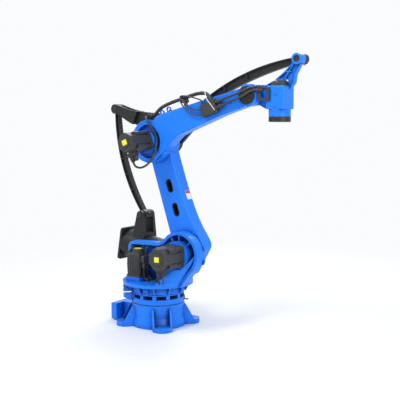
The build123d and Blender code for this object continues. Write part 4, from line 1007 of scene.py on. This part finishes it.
def rocker_details():
    caps = Form()
    for pivot, y, outward, radius, height in ROCKER_CAPS:
        pin_cap(caps, at_pivot(pivot, y, outward), radius, height)
    piece("rocker_pin_caps", caps, "bolt_steel", "rocker")
    hub = at_pivot(ELBOW, ROCKER_FAR_Y, FAR, FOREARM_ALONG)
    piece("rocker_hub_cover", Form().lathe(HUB_COVER, hub, sides=56), "dark_paint", "rocker")
    screws = Form().screw_circle(moved(hub, z=7), 10, 79, 4.8)
    piece("rocker_screws", screws, "bolt_steel", "rocker")


def fork_caps():
    low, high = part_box("link_fork")
    caps = Form()
    for y, outward in ((low.y, NEAR), (high.y, FAR)):
        side, _ = hit("link_fork", (REAR_FOOT.x, y + outward.y * 0.1, REAR_FOOT.z), -outward)
        pin_cap(caps, facing(side, outward), 24, 6)
    piece("fork_pin_caps", caps, "bolt_steel", "turret")


def rod_details(rod, ends):
    """Seal rings and grease nipples at both eyes of a rod, which is its own body."""
    seals = Form()
    nipples = Form()
    low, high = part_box(rod)
    middle = (low.y + high.y) / 2
    along = (ends[1] - ends[0]).normalized()
    under = Vector((along.z, 0, -along.x))
    for point in ends:
        for outward in (NEAR, FAR):
            side, _ = hit(rod, (point.x + ROD_EYE_FACE, middle + outward.y * 0.2, point.z), -outward)
            if side is not None:
                seals.shell(ROD_SEAL, at_pivot(point, side.y, outward), 40)
        spot, _ = hit(rod, Vector((point.x, middle, point.z)) + under * 0.2, -under)
        nipples.lathe(GREASE_NIPPLE, facing(spot, under), sides=18)
    piece(f"{rod}_seals", seals, "hose_black", rod)
    piece(f"{rod}_grease_nipples", nipples, "bright_steel", rod)


def linkage_details():
    rocker_details()
    fork_caps()
    rod_details("rear_rod", (REAR_FOOT, REAR_TOP))
    rod_details("upper_rod", (FRONT_PIN, TIP_PIN))
    tip = Form()
    pin_cap(tip, at_pivot(TIP_PIN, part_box("wrist_casting")[1].y, FAR), 19)
    piece("tip_pin_cap", tip, "bolt_steel", "wrist")


# Balancer

BALANCER_TILT = math.radians(9.5)
BALANCER_REAR = Vector((-0.503, 0.200, 0.660))
BALANCER_RADIUS = 130
BALANCER_LENGTH = 460
BAND_STARTS = (10, 50)
BAND_RISE = 1.5
FRONT_COVER = ((108, -1), (108, 4), (104, 6), (70, 6))
REAR_LID = ((72, -1), (72, 5), (68, 8), (30, 8), (26, 14), (20, 14, 6), (18, 8, 6))


def balancer_details():
    axis = Vector((math.cos(BALANCER_TILT), 0, -math.sin(BALANCER_TILT)))
    rear = facing(BALANCER_REAR, axis, FAR)
    front = moved(rear, z=BALANCER_LENGTH)
    back = facing(BALANCER_REAR - axis * 0.022, -axis, FAR)

    bands = Form()
    inner = BALANCER_RADIUS - 1
    outer = BALANCER_RADIUS + BAND_RISE
    for start in BAND_STARTS:
        bands.shell(((inner, start), (outer, start + 1), (outer, start + 9), (inner, start + 10)),
                    rear, 64)
    bands.lathe(FRONT_COVER, front, sides=56, end_cap=False)
    piece("balancer_bands", bands, "dark_paint", "turret")
    piece("balancer_rear_lid", Form().lathe(REAR_LID, back, sides=48), "dark_paint", "turret")

    screws = Form()
    screws.screw_circle(moved(front, z=6), 8, 88, 5, 22.5)
    screws.screw_circle(moved(back, z=8), 8, 56, 4, 22.5)
    piece("balancer_screws", screws, "bolt_steel", "turret")


# Hoses of the forearm, each as points in millimetres along, across and in world Y

THICK_HOSE_RADIUS = 14.5
THIN_HOSE_RADIUS = 6
WRIST_HOSE_RADIUS = 8.8
MOTOR_CABLE_RADIUS = 9
HOSE_WAVE = 0.9
HOSE_PITCH = 6.4
THICK_HOSE_ROUTE = (
    (85.3, 196, -60), (128, 196, -60), (170, 215, -60), (214, 228, -60), (266, 231, -60), (336, 229, -60),
    (406, 222, -60), (476, 213, -60), (546, 208, -60), (611, 198, -68), (671, 180, -84), (724, 156, -104),
    (760, 116, -125.8), (760, 76.3, -125.8))
WRIST_HOSE_ROUTES = (
    ((847.3, 46, -125.8), (892, 46, -125.8), (950, 40, -134), (1016, 34, -136), (1080, 34, -134),
     (1130, 40, -122), (1166.9, 33, -109), (1194.8, 22.2, -109)),
    ((847.3, 2, -125.8), (892, 2, -125.8), (950, -2, -134), (1014, -4, -136), (1074, 0, -134),
     (1122, 12, -122), (1158.2, 10.6, -109), (1186.1, -0.2, -109)))
MOTOR_CABLE_ROUTE = (
    (-66, -157.3, -294), (-66, -190, -294), (-48, -216, -280), (-16, -226, -256), (22, -210, -220),
    (56, -172, -182), (80, -132, -152), (99, -88, -146), (110, -42, -124), (112, 8, -114),
    (108, 52, -120), (102, 98, -146), (94, 148, -150), (80, 186, -136), (66, 200, -116), (66, 200, -88.3))
THIN_HOSE_ROUTES = (
    ((462, 196, -96.3), (462, 196, -122), (484, 160, -142), (506, 102, -146), (546, 46, -148),
     (600, 6, -138), (622, 4, -130), (650.7, 4, -130)),
    ((470, 212, -96.3), (470, 212, -118), (500, 184, -140), (536, 124, -146), (578, 70, -144),
     (622, 46, -130), (650.7, 46, -130)),
    ((478, 224, -96.3), (478, 224, -116), (520, 216, -132), (576, 186, -136), (632, 150, -134),
     (684, 108, -126), (684, 76.3, -126)))
TIE_ROUTE = (
    (722, 172, -96), (726, 172, -118), (731, 150, -128), (738, 112, -146), (750, 76, -152), (766, 42, -153.5),
    (778, 8, -153.5), (786, -20, -151), (787, -28, -136))
TIE_WIDTH = 7.2
TIE_THICKNESS = 1.6
TIE_OUTWARD = NEAR * 0.8 + FOREARM_ALONG * 0.25
HOSE_BAND_SHARES = (0.36, 0.62, 0.80)
HOSE_BAND = ((15, -2.5), (16.8, -2.5), (16.8, 2.5), (15, 2.5))
HOSE_BAND_LOCK = (7, 6, 5, 1, 0.8)
SWIVEL_NUT = (
    (19.5, 0, 6), (19.5, 10, 6), (16.5, 11), (16.5, 14), (20.5, 16, 6), (20.5, 32, 6), (17.5, 40), (14, 44),
    (10, 47))
SWIVEL_SLEEVE = ((12.5, 46), (12.5, 52), (9.2, 60))
WRIST_FERRULE = ((9.8, -26), (13.5, -22, 6), (13.5, -6, 6), (12, -2))
HOSE_NUTS = (
    *[(route[-1], -FOREARM_ALONG, 10.5, 14) for route in THIN_HOSE_ROUTES[:2]],
    (THIN_HOSE_ROUTES[2][-1], FOREARM_ACROSS, 10.5, 14),
    (THICK_HOSE_ROUTE[-1], FOREARM_ACROSS, 20.5, 20),
    *[(route[0], NEAR, 9.5, 10) for route in THIN_HOSE_ROUTES],
    (THICK_HOSE_ROUTE[0], FOREARM_ALONG, 22.5, 22),
    (MOTOR_CABLE_ROUTE[-1], NEAR, 14.5, 18))


def forearm_spline(route):
    return spline_points([forearm_point(*point) for point in route])


def forearm_hoses():
    path = even_points(forearm_spline(THICK_HOSE_ROUTE), 0.0016)
    form = Form().tube(path, THICK_HOSE_RADIUS, sides=20, wave=HOSE_WAVE, pitch=HOSE_PITCH)
    hose = piece("corrugated_hose", form, "hose_black", "forearm", smooth=60)
    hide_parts("thick_hose")
    form = Form().tube(forearm_spline(MOTOR_CABLE_ROUTE), MOTOR_CABLE_RADIUS, sides=18)
    cable = piece("j3_motor_cable", form, "hose_black", "forearm", smooth=60)
    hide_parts("elbow_motor_cable")
    form = Form()
    for route in THIN_HOSE_ROUTES:
        form.tube(forearm_spline(route), THIN_HOSE_RADIUS)
    thin = piece("air_hoses", form, "hose_black", "forearm", smooth=60)
    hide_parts("thin_hoses")
    form = Form()
    for route in WRIST_HOSE_ROUTES:
        form.tube(even_points(forearm_spline(route), 0.006), WRIST_HOSE_RADIUS, sides=18)
    wrist = piece("wrist_hose_pair", form, "hose_black", None, smooth=60)
    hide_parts("wrist_hoses")
    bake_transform(wrist)


def hose_fittings():
    fittings = Form()
    for across in (2, 46):
        start = facing(forearm_point(801, across, -125.8), FOREARM_ALONG)
        fittings.lathe(SWIVEL_NUT, start, sides=36)
        fittings.lathe(SWIVEL_SLEEVE, start, sides=24)
    for point, outward, radius, height in HOSE_NUTS:
        fittings.nut(facing(forearm_point(*point), outward), radius, height)
    piece("hose_fittings", fittings, "bolt_steel", "forearm")
    ends = Form()
    for route in WRIST_HOSE_ROUTES:
        end = forearm_point(*route[-1])
        ends.lathe(WRIST_FERRULE, facing(end, end - forearm_point(*route[-2])), sides=24)
    piece("wrist_hose_ends", ends, "bolt_steel", "wrist")


def hose_ties():
    """Pale tie over the dress box and dark bands round the thick hose."""
    tie = Form().ribbon(even_points(forearm_spline(TIE_ROUTE), 0.006), TIE_WIDTH, TIE_THICKNESS, TIE_OUTWARD)
    piece("dress_box_tie", tie, "tie_nylon", "forearm")
    bands = Form()
    path = even_points(forearm_spline(THICK_HOSE_ROUTE), 0.004)
    for share in HOSE_BAND_SHARES:
        index = int(share * (len(path) - 1))
        place = facing(path[index], path[index + 1] - path[index], NEAR)
        bands.shell(HOSE_BAND, place, 28)
        bands.block(*HOSE_BAND_LOCK, moved(place, x=16.2, z=-2.5))
    piece("hose_ties", bands, "motor_black", "forearm")


# Forearm

DRESS_LID = (138, 92, 3, 6, 1)
DRESS_RIB = (6, 70, 1.5, 2, 0.6)
FOREARM_HUB_Y = -0.055
MOUNT_Y = -0.092
WRIST_COVER = ((66, -1), (66, 1.5), (62, 3), (30, 3), (28, 4.5), (10, 4.5))
CLAMP_SCREWS = (
    ((457, 180, -96), NEAR, 3.4), ((483, 180, -96), NEAR, 3.4),
    ((42, 222, -60), FOREARM_ACROSS, 4), ((74, 222, -60), FOREARM_ACROSS, 4),
    ((42, 180, -88), NEAR, 3.6), ((74, 180, -88), NEAR, 3.6), ((42, 212, -88), NEAR, 3.6))


def dress_box_lid():
    near_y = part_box("dress_box")[0].y / MM
    place = facing(forearm_point(726, 24, near_y), NEAR, FOREARM_ALONG)
    lid_face = moved(place, z=DRESS_LID[2])
    lid = Form().block(*DRESS_LID, place)
    for x in (-30, 0, 30):
        lid.block(*DRESS_RIB, moved(lid_face, x=x))
    piece("dress_box_lid", lid, "motor_black", "forearm")
    screws = Form().screw_grid(lid_face, (-61, 61), (-38, 38), 3.4)
    piece("dress_box_screws", screws, "bolt_steel", "forearm")


def forearm_details():
    screws = Form()
    screws.screw_circle(at_pivot(ELBOW, FOREARM_HUB_Y, NEAR, FOREARM_ALONG), 16, 128, 5.5, 11.25)
    screws.screw_circle(at_pivot(ELBOW, MOUNT_Y, NEAR, FOREARM_ALONG), 20, 168, 4, 9, 3)
    piece("forearm_screws", screws, "blue_paint", "forearm")

    cover = at_pivot(WRIST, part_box("wrist_pivot_cover")[0].y, NEAR, FOREARM_ALONG)
    piece("wrist_cover_face", Form().lathe(WRIST_COVER, cover, sides=64), "dark_paint", "forearm")
    cover_screws = Form().screw_circle(moved(cover, z=3), 8, 50, 3.4, 22.5)
    piece("wrist_cover_screws", cover_screws, "bolt_steel", "forearm")

    clamp = Form()
    for point, outward, radius in CLAMP_SCREWS:
        clamp.screw(facing(forearm_point(*point), outward), radius)
    piece("clamp_screws", clamp, "bolt_steel", "forearm")


# Wrist and tool flange

CAST_PAD = (36, 26, 2.5, 6, 1.2)
CAST_PAD_HEIGHTS = (0.008, -0.084)
CAST_PAD_BAR = (34, 6, 1.4, 2, 0.8)
TIP_FACE = ((27.5, 0), (27.5, 2), (26.2, 3), (20, 3), (17, 1))
BRACKET_X = 0.162
BRACKET_Z = 0.007
BRACKET_SCREW_OFFSETS = (-0.043, 0.043)
WRIST_SOCKET = ((13.5, 0, 6), (13.5, 10, 6), (12.5, 12), (11.5, 12))
WRIST_SOCKET_Y = -0.109
MOTOR_SKIRT = ((69.5, -1), (69.5, 6), (66.5, 8), (65.5, 8))
WEB_FOOT = (91, 14, 13.5, 2, 1)
FLANGE_RADIUS = 87.2
FLANGE_LINE_RADIUS = 88.6
FLANGE_LINES = (2, 32)


def wrist_casting_details():
    box_face, _ = hit("wrist_casting", (TOOL.x, -0.5, WRIST.z - 0.02), FAR)
    pads = Form()
    for height in CAST_PAD_HEIGHTS:
        place = facing((TOOL.x + 0.010, box_face.y, WRIST.z + height), NEAR, ALONG_X)
        pads.block(*CAST_PAD, place)
        for turn in (40, -40):
            pads.block(*CAST_PAD_BAR, moved(turned(place, turn), z=CAST_PAD[2]))
    piece("wrist_cast_pads", pads, "blue_paint", "wrist")

    spot, _ = hit("wrist_casting", (TIP_PIN.x, -0.5, TIP_PIN.z), FAR)
    face = Form().lathe(TIP_FACE, facing(spot, NEAR), sides=48)
    piece("tip_pin_face", face, "dark_steel", "wrist")


def wrist_bracket_details():
    """Screws on the hose bracket and hexagonal sockets where the hoses end."""
    screws = Form()
    near_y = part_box("wrist_hose_bracket")[0].y
    centre = Vector((WRIST.x + BRACKET_X, near_y, WRIST.z + BRACKET_Z))
    for x in BRACKET_SCREW_OFFSETS:
        for z in BRACKET_SCREW_OFFSETS:
            spot, _ = hit("wrist_hose_bracket", centre + Vector((x, -0.2, z)), FAR)
            if spot is not None:
                screws.screw(facing(spot, NEAR), 3.6)
    piece("wrist_bracket_screws", screws, "bolt_steel", "wrist")
    sockets = Form()
    for height in (0.064, 0.040):
        for x in (0.010, 0.040):
            place = facing((WRIST.x + 0.104 + x, WRIST_SOCKET_Y, WRIST.z + height), ALONG_X)
            sockets.shell(WRIST_SOCKET, place, 24)
    piece("wrist_sockets", sockets, "bolt_steel", "wrist")


def wrist_motor_details():
    low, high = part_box("wrist_motor")
    skirt = Form().shell(MOTOR_SKIRT, facing((TOOL.x, 0, low.z), UP), 56)
    piece("wrist_motor_skirt", skirt, "motor_black", "wrist")
    screws = Form().screw_circle(facing((TOOL.x, 0, low.z), UP, ALONG_X), 4, 96, 4.5, 45)
    piece("wrist_top_screws", screws, "bolt_steel", "wrist")
    foot = Form().block(*WEB_FOOT, facing((TOOL.x + 0.011, 0.007, high.z + 0.0004), UP, ALONG_X))
    piece("horn_web_foot", foot, "blue_paint", "wrist")


def tool_flange_lines():
    """Two raised lines round the tool flange."""
    place = facing((TOOL.x, 0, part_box("tool_flange")[0].z), UP)
    lines = Form()
    for start in FLANGE_LINES:
        lines.shell(((FLANGE_RADIUS, start), (FLANGE_LINE_RADIUS, start + 2),
                     (FLANGE_LINE_RADIUS, start + 5), (FLANGE_RADIUS, start + 7)), place, 72)
    piece("tool_flange_lines", lines, "dark_steel", "tool")


make_camera()
make_studio()
make_floor()
dress_frame()
dress_motor("j2_motor", "turret", J2_PLACE, J2_ACROSS, J2_FLANGE_SIDE, J2_LENGTH)
dress_motor("j3_motor", "forearm", J3_PLACE, J3_ACROSS, J3_FLANGE_SIDE, J3_LENGTH)
dress_j1_motor()
deck_cables()
turret_details()
foot_jacks()
zero_mark()
cable_box_details()
lower_arm_details()
linkage_details()
balancer_details()
forearm_hoses()
dress_box_lid()
hose_fittings()
hose_ties()
forearm_details()
wrist_casting_details()
wrist_bracket_details()
wrist_motor_details()
tool_flange_lines()
